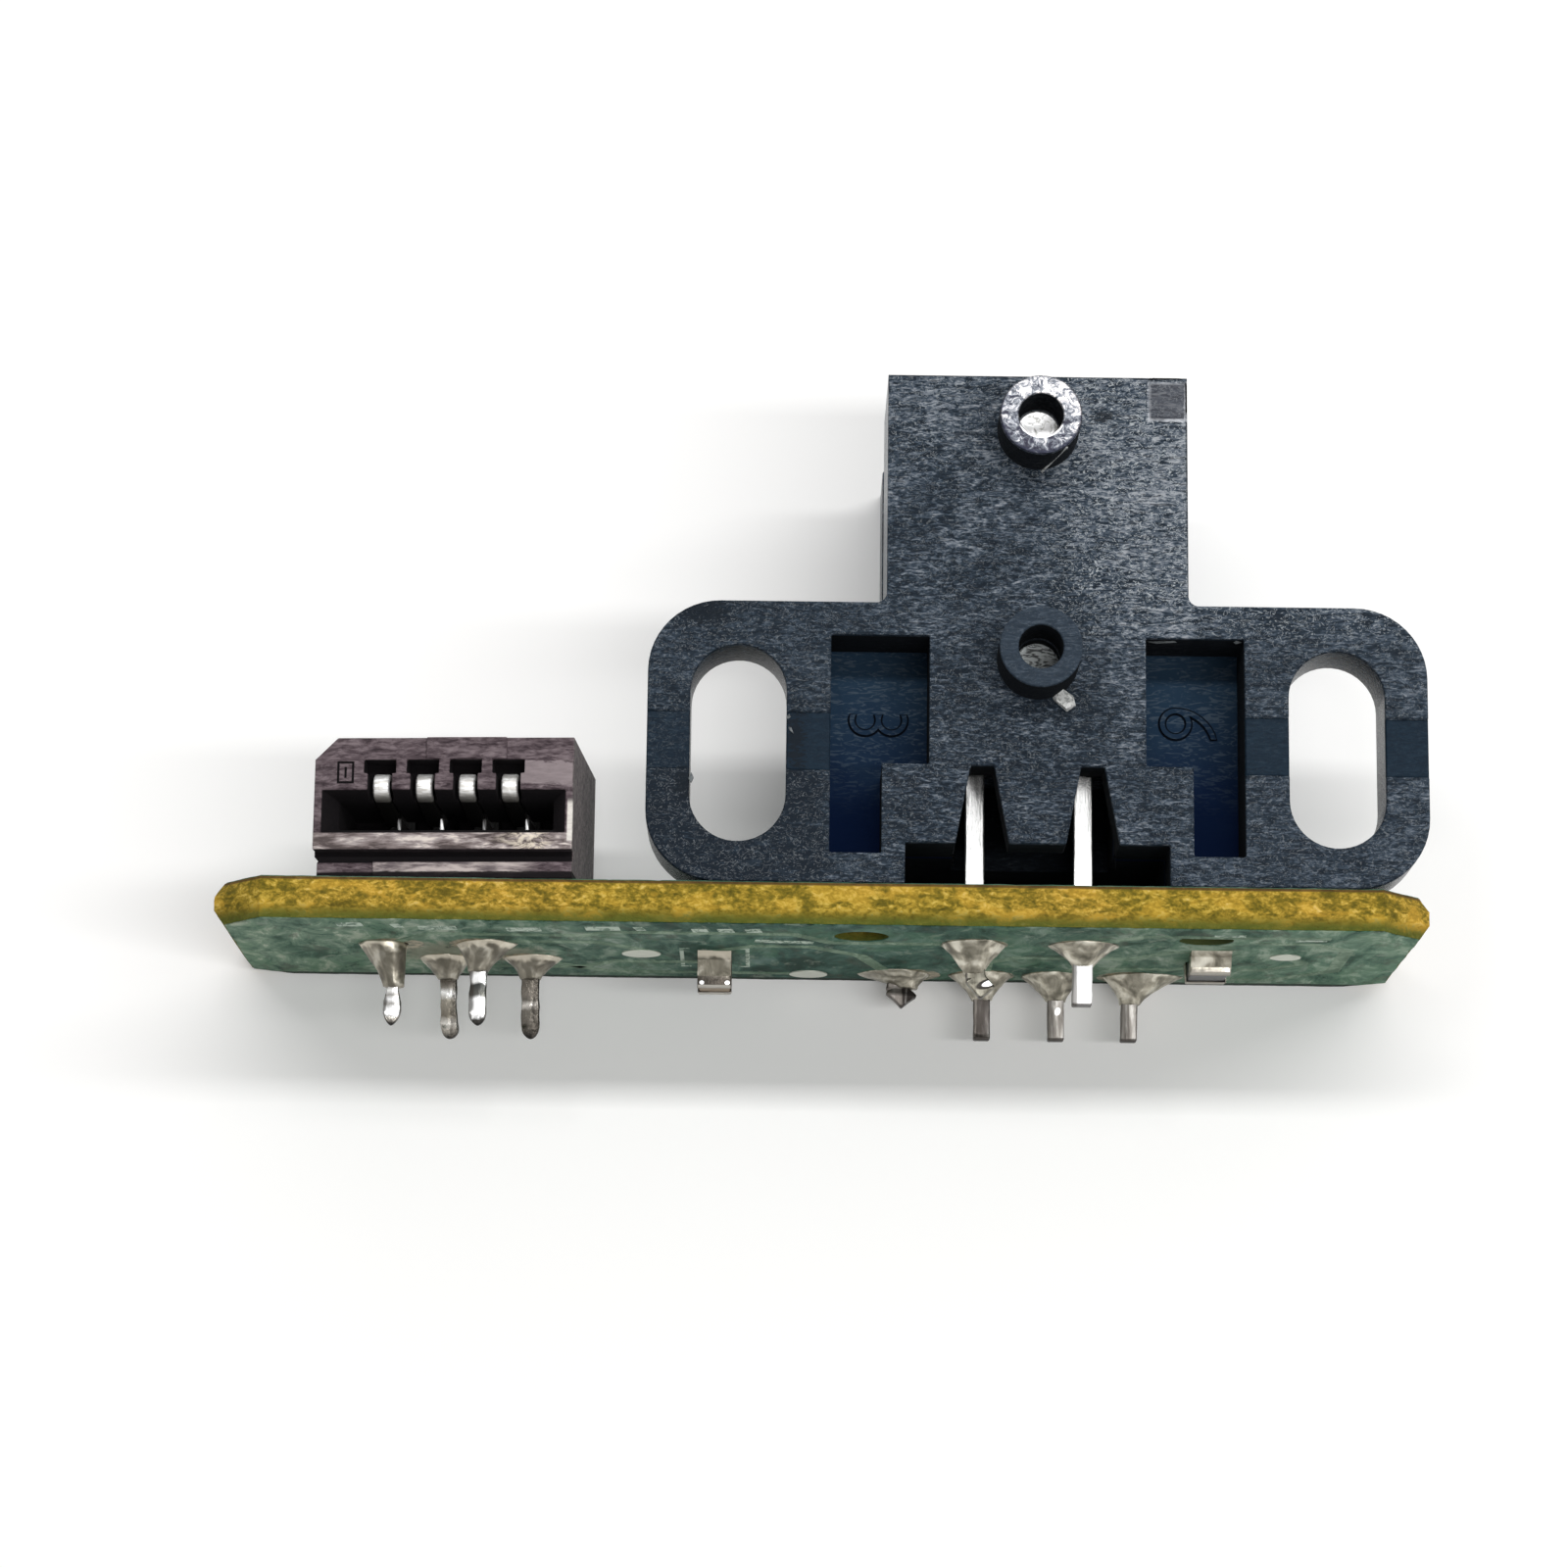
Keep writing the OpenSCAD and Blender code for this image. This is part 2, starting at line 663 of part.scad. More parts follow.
module sensor_body() {
    color("#2e333a") {
        difference() {
            body_shell();
            block([-tower_w / 2 - over, gap_floor, gap_back_z],
                  [tower_w / 2 + over, max(front_arm_top, rear_arm_top) + over, gap_front_z]);
            ear_slots();
            recesses();
            ear_reliefs();
            lead_cutout();
            pockets();
            corner_square();
            for (y = [post_lower, post_upper]) translate([0, y, post_h - post_hole_depth])
                cylinder(d = post_hole_d, h = post_hole_depth + over);
        }
        for (side = [-1, 1])
            translate([side * (recess_inner + recess_outer) / 2, (recess_top - recess_step) / 2 - digit_stroke,
                       -recess_depth])
                rotate([0, 0, -90]) linear_extrude(digit_raise) digit(side > 0);
    }
}

// Emitter and detector

// A sensor lead from inside its package down to its tail, whose tip may lean over
module sensor_lead(x, z, w, top, tail, tip, lean) {
    bottom = underside_y - tail;
    translate([x, 0, z]) {
        block([-w / 2, bottom, -lead_t / 2], [w / 2, top, lead_t / 2]);
        if (tip > 0) translate([0, bottom, 0]) rotate([0, 0, lean])
            block([-w / 2, -tip, -lead_t / 2], [w / 2, w / 4, lead_t / 2]);
    }
}

module emitter_lead(i) {
    root_top = emitter_top - emitter_h + lead_root;
    paddle = 2 * emitter_die_w;
    color("#c9ccce") {
        if (i == 1) {
            sensor_lead(emitter_x(i), emitter_row_z, emitter_lead_w, root_top, bent_tail, bent_tip, bent_angle);
            translate([0, 0, emitter_row_z]) {
                block([emitter_x(i) - emitter_lead_w / 2, root_top, -lead_t / 2],
                      [emitter_x(i) + emitter_lead_w / 2, optic_h + paddle / 2, lead_t / 2]);
                block([emitter_x(i), optic_h - paddle / 2, -lead_t / 2],
                      [paddle / 2, optic_h + paddle / 2, lead_t / 2]);
            }
        }
        else sensor_lead(emitter_x(i), emitter_row_z, emitter_lead_w, root_top, emitter_tail, 0, 0);
    }
}

module emitter_die() {
    color("#6a5a7a") translate([0, optic_h, emitter_row_z - lead_t / 2])
        block([-emitter_die_w / 2, -emitter_die_w / 2, -emitter_die_t], [emitter_die_w / 2, emitter_die_w / 2, 0]);
}

module emitter_package() {
    front = emitter_front_z - package_play;
    back = front - emitter_t;
    color("#3a3450") difference() {
        union() {
            block([-emitter_w / 2, emitter_top - emitter_h, back], [emitter_w / 2, emitter_top, front]);
            intersection() {
                translate([0, optic_h, back - lens_h + lens_r]) sphere(lens_r);
                block([-lens_r, optic_h - lens_r, back - lens_r], [lens_r, optic_h + lens_r, back]);
            }
        }
        for (i = [1:2]) emitter_lead(i);
        emitter_die();
    }
}

// The second detector lead carries the paddle that the chip sits on
module detector_lead(i) {
    root_top = detector_top - detector_h + lead_root;
    paddle_w = detector_die_w + lead_t;
    paddle_h = detector_die_h + lead_t;
    color("#b5b7b6") {
        if (i == 1)
            sensor_lead(detector_x(i), detector_row_z, detector_lead_w, root_top,
                        cropped_tail, cropped_tip, cropped_angle);
        else
            sensor_lead(detector_x(i), detector_row_z, detector_lead_w, root_top, detector_tail, 0, 0);
        if (i == 2) translate([0, 0, detector_row_z]) {
            block([detector_x(i) - detector_lead_w / 2, root_top, -lead_t / 2],
                  [detector_x(i) + detector_lead_w / 2, optic_h, lead_t / 2]);
            block([-paddle_w / 2, optic_h - paddle_h / 2, -lead_t / 2],
                  [paddle_w / 2, optic_h + paddle_h / 2, lead_t / 2]);
        }
    }
}

module detector_die() {
    color("#50555f") translate([0, optic_h, detector_row_z + lead_t / 2])
        block([-detector_die_w / 2, -detector_die_h / 2, 0], [detector_die_w / 2, detector_die_h / 2, detector_die_t]);
}

module detector_package() {
    color("#1d1f22") difference() {
        block([-detector_w / 2, detector_top - detector_h, detector_back_z + package_play],
              [detector_w / 2, detector_top, detector_front_z - package_play]);
        for (i = [1:detector_leads]) detector_lead(i);
        detector_die();
    }
}

// Connector

// The funnel that leads a flat cable from the mouth into the cable space
module mouth_funnel() {
    slice = 0.01;
    hull() {
        block([-mouth_w / 2, mouth_sill, 0], [mouth_w / 2, mouth_sill + mouth_h, over]);
        block([funnel_side - mouth_w / 2, mouth_sill + funnel_edge, -funnel_depth],
              [mouth_w / 2 - funnel_side, mouth_sill + mouth_h - funnel_edge, slice - funnel_depth]);
    }
}

// The room for one contact: its window, its channel, its rear plate and the way out for its tail
module contact_room(i) {
    half_spring = contact_w / 2 + contact_play;
    half_tail = tail_w / 2 + contact_play;
    seam = conn_h - band_h;
    plate_end = plate_depth + contact_t;
    arm_end = arm_offset + arm_t / 2 + contact_play;
    arm_bottom = mouth_sill + funnel_edge - contact_play;
    translate([contact_x(i), 0, 0]) {
        block([-window_w / 2, seam - window_h, -window_depth], [window_w / 2, seam, over]);
        block([-window_narrow_w / 2, mouth_sill + mouth_h / 2, -window_depth],
              [window_narrow_w / 2, seam - window_h / 2, over]);
        block([-half_spring, mouth_sill + mouth_h / 2, -plate_end], [half_spring, contact_top, 0]);
        block([-half_spring, arm_bottom, -plate_end], [arm_end, contact_top, -plate_depth + contact_play]);
        block([arm_offset - arm_t / 2 - contact_play, arm_bottom, -plate_end],
              [arm_end, arm_bottom + arm_h + 2 * contact_play, -nose_depth]);
        if (in_rear_row(i))
            block([-half_tail, contact_top - contact_t - contact_play, -conn_depth - over],
                  [half_tail, contact_top, -plate_depth]);
        else
            block([-half_tail, -over, -near_tail_depth - contact_t / 2],
                  [half_tail, contact_top, -near_tail_depth + contact_t / 2 + contact_play]);
    }
}

// The small boxed digit at the left of the windows
module boxed_digit(seam) {
    box_w = 0.5;
    box_h = 0.66;
    line = 0.07;
    gap = 0.28;
    depth = 0.04;
    translate([contact_x(1) - window_w / 2 - gap - box_w / 2, seam - line - box_h / 2, -depth])
    linear_extrude(over) {
        difference() {
            square([box_w, box_h], center = true);
            square([box_w - 2 * line, box_h - 2 * line], center = true);
        }
        square([line, box_h / 2], center = true);
    }
}

module connector_housing() {
    half = conn_w / 2;
    lip_bottom = mouth_sill - lip_h;
    foot_top = lip_bottom - undercut_h;
    seam = conn_h - band_h;
    color("#4a3a40") at_connector() difference() {
        block([-half, 0, -conn_depth], [half, conn_h, 0]);
        // Chamfer of the upper left corner, along the whole depth
        translate([-half, conn_h, -conn_depth - over]) linear_extrude(conn_depth + 2 * over) polygon([
            [-over, -conn_chamfer - over], [conn_chamfer + over, over], [-over, over]
        ]);
        // Band that stands back on both sides of its raised middle
        for (side = [-1, 1]) mirror([side > 0 ? 0 : 1, 0, 0])
            block([band_mid_len / 2 + side * band_mid_off, seam, -band_back], [half + over, conn_h + over, over]);
        block([-half - over, foot_top, -undercut_depth], [half + over, lip_bottom, over]);
        block([-half - over, -over, -foot_back], [half + over, foot_top + undercut_h / 2, over]);
        block([-half - over, -over, -foot_back - foot_end_back],
              [foot_end_len - half, foot_top + undercut_h / 2, over]);
        block([-half - over, -over, -conn_depth - over], [foot_side_in - half, foot_top + undercut_h / 2, over]);
        mouth_funnel();
        block([funnel_side - mouth_w / 2, mouth_sill + funnel_edge, -plate_depth],
              [mouth_w / 2 - funnel_side, mouth_sill + mouth_h - funnel_edge, -funnel_depth]);
        for (i = [1:contacts]) contact_room(i);
        boxed_digit(seam);
    }
}

// A tail with a rounded tip, hanging from a level
module contact_tail_strip(level) {
    tip = underside_y - mask_top_y - contact_tail;
    linear_extrude(contact_t, center = true) {
        translate([-tail_w / 2, tip + tail_w / 2]) square([tail_w, level - tip - tail_w / 2]);
        translate([0, tip + tail_w / 2]) circle(tail_w / 2);
    }
}

module connector_contact(i) {
    beam_low = contact_top - 2 * nose_r;
    beam_drop = mouth_h / 4;
    beam_end = plate_depth - 4 * contact_t;
    arm_bottom = mouth_sill + funnel_edge;
    color("#c4c7c8") at_connector() translate([contact_x(i), 0, 0]) {
        from_side(contact_w) {
            translate([nose_depth, contact_top - contact_t])
                square([(in_rear_row(i) ? rear_tail_depth : plate_depth) + contact_t / 2 - nose_depth, contact_t]);
            difference() {
                translate([nose_depth, contact_top - nose_r]) circle(nose_r);
                translate([nose_depth, contact_top - nose_r]) circle(nose_r - contact_t);
                translate([nose_depth, beam_low - over]) square([2 * nose_r, 2 * nose_r + 2 * over]);
            }
            polygon([[nose_depth, beam_low], [nose_depth, beam_low + contact_t],
                     [beam_end, beam_low + contact_t - beam_drop], [beam_end, beam_low - beam_drop]]);
        }
        block([-contact_w / 2, arm_bottom, -plate_depth - contact_t],
              [arm_offset + arm_t / 2, contact_top, -plate_depth]);
        block([arm_offset - arm_t / 2, arm_bottom, -plate_depth],
              [arm_offset + arm_t / 2, arm_bottom + arm_h, -nose_depth - contact_t]);
        translate([0, 0, -tail_depth(i)]) contact_tail_strip(contact_top);
    }
}

// Chips on the underside

// A ceramic core, a little smaller than the chip, so that its end caps wrap around it
module chip_core(len, w, h) {
    block([cap_skin - w / 2, cap_skin - h, cap_skin - len / 2], [w / 2 - cap_skin, -cap_skin, len / 2 - cap_skin]);
}

module chip_ends(len, w, h) {
    difference() {
        for (end = [-1, 1]) translate([0, 0, end * (len - cap_end) / 2])
            block([-w / 2, -h, -cap_end / 2], [w / 2, 0, cap_end / 2]);
        chip_core(len, w, h);
    }
}

// A wedge of solder in front of each end cap
module chip_fillets(len, w, h) {
    for (end = [-1, 1]) mirror([0, 0, end > 0 ? 0 : 1]) translate([0, 0, len / 2])
        from_side(w) polygon([[0, 0], [-chip_land, 0], [-chip_land / 3, -h * chip_climb / 3], [0, -h * chip_climb]]);
}

module capacitor_body() {
    color("#8f7a5c") at_capacitor() chip_core(cap_len, cap_w, cap_h);
}

module capacitor_terminals() {
    color("#b7b4ab") at_capacitor() chip_ends(cap_len, cap_w, cap_h);
}

module resistor_body() {
    color("#24262a") at_resistor() chip_core(res_len, res_w, res_h);
}

module resistor_terminals() {
    color("#b7b4ab") at_resistor() chip_ends(res_len, res_w, res_h);
}

module chip_solder() {
    color("#a8a69e") {
        at_capacitor() chip_fillets(cap_len, cap_w, cap_h);
        at_resistor() chip_fillets(res_len, res_w, res_h);
    }
}

// Solder joints

// A hollow-sided cone of solder that hangs from its pad
module solder_cone(foot_r, h) {
    steps = 8;
    rotate([90, 0, 0]) rotate_extrude() polygon(concat(
        [[0, 0]],
        [for (k = [0:steps]) let (a = 90 * k / steps)
            [solder_tip_r + (foot_r - solder_tip_r) * (1 - sin(a)), h * (1 - cos(a))]],
        [[0, h]]
    ));
}

module emitter_solder() {
    color("#a9a69c") difference() {
        for (i = [1:2]) translate([emitter_x(i), underside_y, emitter_row_z])
            solder_cone(sensor_pad_r - pad_rim, sensor_solder_h);
        for (i = [1:2]) emitter_lead(i);
    }
}

module detector_solder() {
    color("#a09d94") difference() {
        for (i = [1:detector_leads]) translate([detector_x(i), underside_y, detector_row_z])
            solder_cone(sensor_pad_r - pad_rim, i == 1 ? cropped_solder_h : sensor_solder_h);
        for (i = [1:detector_leads]) detector_lead(i);
    }
}

module connector_solder() {
    color("#a9a69c") difference() {
        at_contact_tails() translate([0, underside_y, 0])
            solder_cone(contact_pad_r - pad_rim, contact_solder_h);
        for (i = [1:contacts]) connector_contact(i);
    }
}

circuit_board();
solder_mask_top();
solder_mask_underside();
lead_pads();
test_pads();
chip_pads();
sensor_body();
emitter_package();
emitter_die();
emitter_lead(1);  // emitter_lead_1
emitter_lead(2);  // emitter_lead_2
detector_package();
detector_die();
detector_lead(1);  // detector_lead_1
detector_lead(2);  // detector_lead_2
detector_lead(3);  // detector_lead_3
detector_lead(4);  // detector_lead_4
connector_housing();
connector_contact(1);  // connector_contact_1
connector_contact(2);  // connector_contact_2
connector_contact(3);  // connector_contact_3
connector_contact(4);  // connector_contact_4
capacitor_body();
capacitor_terminals();
resistor_body();
resistor_terminals();
emitter_solder();
detector_solder();
connector_solder();
chip_solder();
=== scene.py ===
import math

import bmesh
import bpy
from mathutils import Euler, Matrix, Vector, noise


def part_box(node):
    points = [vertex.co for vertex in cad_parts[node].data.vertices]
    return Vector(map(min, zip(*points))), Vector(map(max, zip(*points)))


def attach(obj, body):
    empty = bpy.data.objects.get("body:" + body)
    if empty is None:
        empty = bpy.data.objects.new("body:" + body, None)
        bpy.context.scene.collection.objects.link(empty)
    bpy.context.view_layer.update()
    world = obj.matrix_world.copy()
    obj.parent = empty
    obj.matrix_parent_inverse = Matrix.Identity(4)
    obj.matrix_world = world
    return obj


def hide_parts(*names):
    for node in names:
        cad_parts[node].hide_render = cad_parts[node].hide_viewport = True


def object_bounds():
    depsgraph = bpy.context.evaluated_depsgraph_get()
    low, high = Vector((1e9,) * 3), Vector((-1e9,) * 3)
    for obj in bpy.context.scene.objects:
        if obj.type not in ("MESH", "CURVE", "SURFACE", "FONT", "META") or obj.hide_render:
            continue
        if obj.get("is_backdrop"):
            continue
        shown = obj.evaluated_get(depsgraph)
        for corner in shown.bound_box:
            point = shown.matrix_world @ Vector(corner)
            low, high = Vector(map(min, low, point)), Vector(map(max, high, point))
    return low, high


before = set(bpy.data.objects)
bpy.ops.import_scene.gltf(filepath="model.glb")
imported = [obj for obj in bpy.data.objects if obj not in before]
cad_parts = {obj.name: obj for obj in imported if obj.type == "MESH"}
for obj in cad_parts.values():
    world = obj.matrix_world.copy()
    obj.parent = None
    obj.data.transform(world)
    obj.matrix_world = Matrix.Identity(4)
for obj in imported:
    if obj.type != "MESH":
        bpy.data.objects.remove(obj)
cad_low, cad_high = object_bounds()

# Place and view. The part lies on its back and the camera looks down on it from a hand's width away,
# a little from the board's side. Its place and tilt come from the board's edges, the tower and the posts.
mm = 0.001
camera = bpy.data.objects.new("camera", bpy.data.cameras.new("camera"))
camera.location = Vector((-7.405, -28.264, 123.212)) * mm
camera.rotation_euler = Euler(math.radians(a) for a in (12.372, -0.183, 0.711))
camera.data.sensor_width = 36
camera.data.lens = 100.07
camera.data.clip_start = 0.01
bpy.context.scene.collection.objects.link(camera)
bpy.context.scene.camera = camera
bpy.context.scene.view_settings.view_transform = "Standard"


# Shaders are written as sums. A Tone is an output socket that takes part in them, and a Paint is a material
# whose every node comes from one method.
class Tone:
    def __init__(self, paint, socket):
        self.paint, self.socket = paint, socket

    def maths(self, operation, *values):
        return self.paint.node("ShaderNodeMath", {"operation": operation}, dict(enumerate(values)))

    def __add__(self, other):
        return self.maths("ADD", self, other)

    def __sub__(self, other):
        return self.maths("SUBTRACT", self, other)

    def __rsub__(self, other):
        return self.maths("SUBTRACT", other, self)

    def __mul__(self, other):
        return self.maths("MULTIPLY", self, other)

    def __truediv__(self, other):
        return self.maths("DIVIDE", self, other)

    def __pow__(self, other):
        return self.maths("POWER", self, other)

    def __abs__(self):
        return self.maths("ABSOLUTE", self)

    def most(self, other):
        return self.maths("MAXIMUM", self, other)

    __radd__, __rmul__ = __add__, __mul__


class Paint:
    def __init__(self, name, **constants):
        self.material = bpy.data.materials.new(name)
        self.material.use_nodes = True
        self.shader = self.material.node_tree.nodes["Principled BSDF"]
        for socket, value in constants.items():
            self.shader.inputs[socket.replace("_", " ")].default_value = value

    def node(self, kind, settings=None, sockets=None, out=0):
        made = self.material.node_tree.nodes.new(kind)
        settings = dict(settings or {})
        for place, colour in settings.pop("stops", []):
            ramp = made.color_ramp.elements
            stop = ramp[0] if place == 0 else ramp[-1] if place == 1 else ramp.new(place)
            stop.color = (*colour, 1)
        for name, value in settings.items():
            setattr(made, name, value)
        for name, value in (sockets or {}).items():
            if isinstance(value, Tone):
                self.material.node_tree.links.new(value.socket, made.inputs[name])
            else:
                made.inputs[name].default_value = value
        return Tone(self, made.outputs[out])

    def feed(self, **tones):
        for socket, tone in tones.items():
            self.material.node_tree.links.new(tone.socket, self.shader.inputs[socket.replace("_", " ")])

    def place(self):
        """The point on the surface in millimetres, as three Tones."""
        at = self.node("ShaderNodeTexCoord", out="Object")
        scaled = self.node("ShaderNodeVectorMath", {"operation": "SCALE"}, {0: at, "Scale": 1 / mm})
        return [self.node("ShaderNodeSeparateXYZ", None, {0: scaled}, out=axis) for axis in "XYZ"]

    def speckle(self, stretch, detail=3.0, roughness=0.6, shift=0.0, distortion=0.0):
        """Noise from 0 to 1 with so many blotches in a millimetre along X, Y and Z."""
        at = self.node("ShaderNodeTexCoord", out="Object")
        point = self.node("ShaderNodeVectorMath", {"operation": "MULTIPLY_ADD"},
                          {0: at, 1: [s / mm for s in stretch], 2: (shift, shift, shift)})
        return self.node("ShaderNodeTexNoise", None, {
            "Vector": point, "Scale": 1.0, "Detail": detail, "Roughness": roughness, "Distortion": distortion})

    def step(self, tone, low, high):
        """0 below low, 1 above high, and smooth between them."""
        return self.node("ShaderNodeMapRange", {"interpolation_type": "SMOOTHSTEP"},
                         {"Value": tone, "From Min": low, "From Max": high})

    def blend(self, share, first, second, mode="MIX"):
        """Two colours mixed, each a Tone or three numbers."""
        colours = [c if isinstance(c, Tone) else (*c, 1) for c in (first, second)]
        return self.node("ShaderNodeMix", {"data_type": "RGBA", "blend_type": mode},
                         {0: share, 6: colours[0], 7: colours[1]}, out=2)

    def relief(self, height, depth):
        """Bumps as deep as depth, in millimetres, where height is 1."""
        return self.node("ShaderNodeBump", None, {"Height": height, "Distance": depth * mm, "Strength": 1.0})


# White sheet of paper under the part, lit by two long tubes overhead and by a bright white room.
# To the camera and in reflections the paper and the room are plain white, and the paper keeps the shadow.
def white_share(material_tree):
    rays = material_tree.nodes.new("ShaderNodeLightPath")
    joined = rays.outputs["Is Camera Ray"]
    for kind in ("Is Glossy Ray", "Is Transmission Ray"):
        most = material_tree.nodes.new("ShaderNodeMath")
        most.operation = "MAXIMUM"
        material_tree.links.new(joined, most.inputs[0])
        material_tree.links.new(rays.outputs[kind], most.inputs[1])
        joined = most.outputs[0]
    return joined


paper_half, paper_glow, room_light, room_white = 0.9, 0.11, 0.165, 1.0
paper_mesh = bpy.data.meshes.new("paper")
paper_mesh.from_pydata([(x * paper_half, y * paper_half, cad_low.z) for x, y in ((-1, -1), (1, -1), (1, 1), (-1, 1))],
                       [], [(0, 1, 2, 3)])
paper = bpy.data.objects.new("paper", paper_mesh)
bpy.context.scene.collection.objects.link(paper)
paper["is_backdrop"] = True
paper_paint = Paint("paper", Roughness=0.9)
paper_paint.shader.inputs["Base Color"].default_value = (0.918, 0.914, 0.903, 1)
paper_paint.shader.inputs["Specular IOR Level"].default_value = 0
paper_paint.shader.inputs["Emission Color"].default_value = (1, 1, 1, 1)
glow = Tone(paper_paint, white_share(paper_paint.material.node_tree)) * paper_glow
paper_paint.material.node_tree.links.new(glow.socket, paper_paint.shader.inputs["Emission Strength"])
paper_mesh.materials.append(paper_paint.material)

room = bpy.data.worlds.new("room")
room.use_nodes = True
bpy.context.scene.world = room
background = room.node_tree.nodes["Background"]
background.inputs["Color"].default_value = (1, 1, 1, 1)
lift = room.node_tree.nodes.new("ShaderNodeMath")
lift.operation = "MULTIPLY_ADD"
room.node_tree.links.new(white_share(room.node_tree), lift.inputs[0])
lift.inputs[1].default_value, lift.inputs[2].default_value = room_white - room_light, room_light
room.node_tree.links.new(lift.outputs[0], background.inputs["Strength"])

# Two long tubes hang above, one towards the tower and one towards the board, and the far wall is bright.
lamp_high, tube_wide = 0.6, 0.06
wall_wide, wall_away, wall_watts = 1.0, 0.7, 1.3
for name, lean, length, watts in (("far_tube", (0.27, 0.38), 0.95, 3.1), ("near_tube", (0.50, -0.20), 0.66, 1.9)):
    lamp = bpy.data.objects.new(name, bpy.data.lights.new(name, "AREA"))
    lamp.data.shape, lamp.data.size, lamp.data.size_y, lamp.data.energy = "RECTANGLE", length, tube_wide, watts
    lamp.location = Vector((*lean, 1.0)) * lamp_high
    bpy.context.scene.collection.objects.link(lamp)
wall = bpy.data.objects.new("far_wall", bpy.data.lights.new("far_wall", "AREA"))
wall.data.shape, wall.data.size, wall.data.energy = "DISK", wall_wide, wall_watts
wall_way = Vector((0.1, 1.1, 0.8)).normalized()
wall.location = wall_way * wall_away
wall.rotation_euler = wall_way.to_track_quat("Z", "Y").to_euler()
bpy.context.scene.collection.objects.link(wall)


# Circuit board: glass-fibre laminate. Its long edges were sheared, so they are ragged and fibrous, and its ends
# were scored on both faces and snapped, so the middle of the laminate stands out there. Copper, lacquer and
# print lie on the two faces. All flat plates share one way of roughening their outline.
def piece(name, mesh, *, paint, replaces=()):
    """A new piece of the part, from a bmesh or a mesh."""
    if isinstance(mesh, bmesh.types.BMesh):
        made, mesh = mesh, bpy.data.meshes.new(name)
        bmesh.ops.recalc_face_normals(made, faces=made.faces)
        made.to_mesh(mesh)
        made.free()
    mesh.materials.clear()
    mesh.materials.append(paint.material)
    thing = bpy.data.objects.new(name, mesh)
    bpy.context.scene.collection.objects.link(thing)
    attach(thing, "root")
    if replaces:
        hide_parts(*replaces)
    return thing


def solid_of(node, whole_faces=False):
    """A CAD node's mesh with its corners joined, and each flat face in one piece again if asked."""
    made = bmesh.new()
    made.from_mesh(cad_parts[node].data)
    bmesh.ops.remove_doubles(made, verts=made.verts, dist=1e-7)
    if whole_faces:
        bmesh.ops.dissolve_limit(made, angle_limit=math.radians(0.4), verts=made.verts, edges=made.edges)
    return made


def torn_in(point, level, deep):
    """How far the sheared edge is torn in at a point of the outline, and at a level of its own."""
    coarse = noise.noise(Vector((point.x, level * 0.5, point.z)) / (0.9 * mm))
    fine = noise.noise(Vector((point.x, level * 1.3, point.z)) / (0.16 * mm))
    chip = max(0.0, noise.noise(Vector((point.x + level, 0.3, point.z)) / (0.45 * mm)) - 0.42)
    return max(0.0, deep * (0.5 + 0.35 * coarse + 0.25 * fine + 1.6 * chip))


def sheared_plate(node, deep, rows, pitch=0.12 * mm, reach=0.0, cut=1.2 * mm, web=0.4 * mm):
    """A CAD plate whose outer wall is made of small faces, torn in by up to deep. Where its ends are snapped,
    a web in the middle of its thickness stands out by reach."""
    made = solid_of(node)
    walls = {f for f in made.faces if abs(f.normal.y) < 0.9}
    sides, fresh = set(), {min(walls, key=lambda f: f.calc_center_median().x)}
    while fresh:
        sides |= fresh
        fresh = {f for g in fresh for e in g.edges for f in e.link_faces if f in walls} - sides
    bmesh.ops.delete(made, geom=list(sides), context="FACES")
    rim = [e for e in made.edges if e.is_boundary]
    for length in sorted({round(e.calc_length(), 6) for e in rim}):
        same = [e for e in rim if e.is_valid and abs(e.calc_length() - length) < 2e-6]
        bmesh.ops.subdivide_edges(made, edges=same, cuts=max(1, round(length / pitch)))
    edge = {v for e in made.edges if e.is_boundary for v in e.verts}
    middle = sum((v.co for v in edge), Vector()) / len(edge)
    around = lambda v: math.atan2(v.co.z - middle.z, v.co.x - middle.x)
    low, high = min(v.co.y for v in edge), max(v.co.y for v in edge)
    left, right = min(v.co.x for v in edge), max(v.co.x for v in edge)
    loops = [sorted((v for v in edge if abs(v.co.y - y) < 1e-7), key=around) for y in (low, high)]
    count = len(loops[0])
    outline = [v.co.copy() for v in loops[0]]
    inward = []
    for k in range(count):
        along = outline[(k + 1) % count] - outline[k - 1]
        inward.append(Vector((-along.z, 0, along.x)).normalized())
        inward[k] *= 1 if inward[k].dot(middle - outline[k]) > 0 else -1
    layers = [loops[0]]
    for row in range(1, rows):
        y = low + (high - low) * row / rows
        layers.append([made.verts.new((p.x, y, p.z)) for p in outline])
    layers.append(loops[1])
    for layer in layers:
        for k, v in enumerate(layer):
            level = v.co.y
            v.co += inward[k] * torn_in(outline[k], level, deep)
            lift = min(1.0, min(level - low, high - level) * 2 / (high - low - web)) if reach else 0.0
            v.co.x -= reach * lift * max(0.0, (left + cut - outline[k].x) / cut)
            v.co.x += reach * lift * max(0.0, (outline[k].x - right + cut) / cut)
    for below, above in zip(layers, layers[1:]):
        for k in range(count):
            n = (k + 1) % count
            made.faces.new((below[k], below[n], above[n], above[k]))
    bmesh.ops.triangulate(made, faces=[f for f in made.faces if len(f.verts) > 4])
    return made


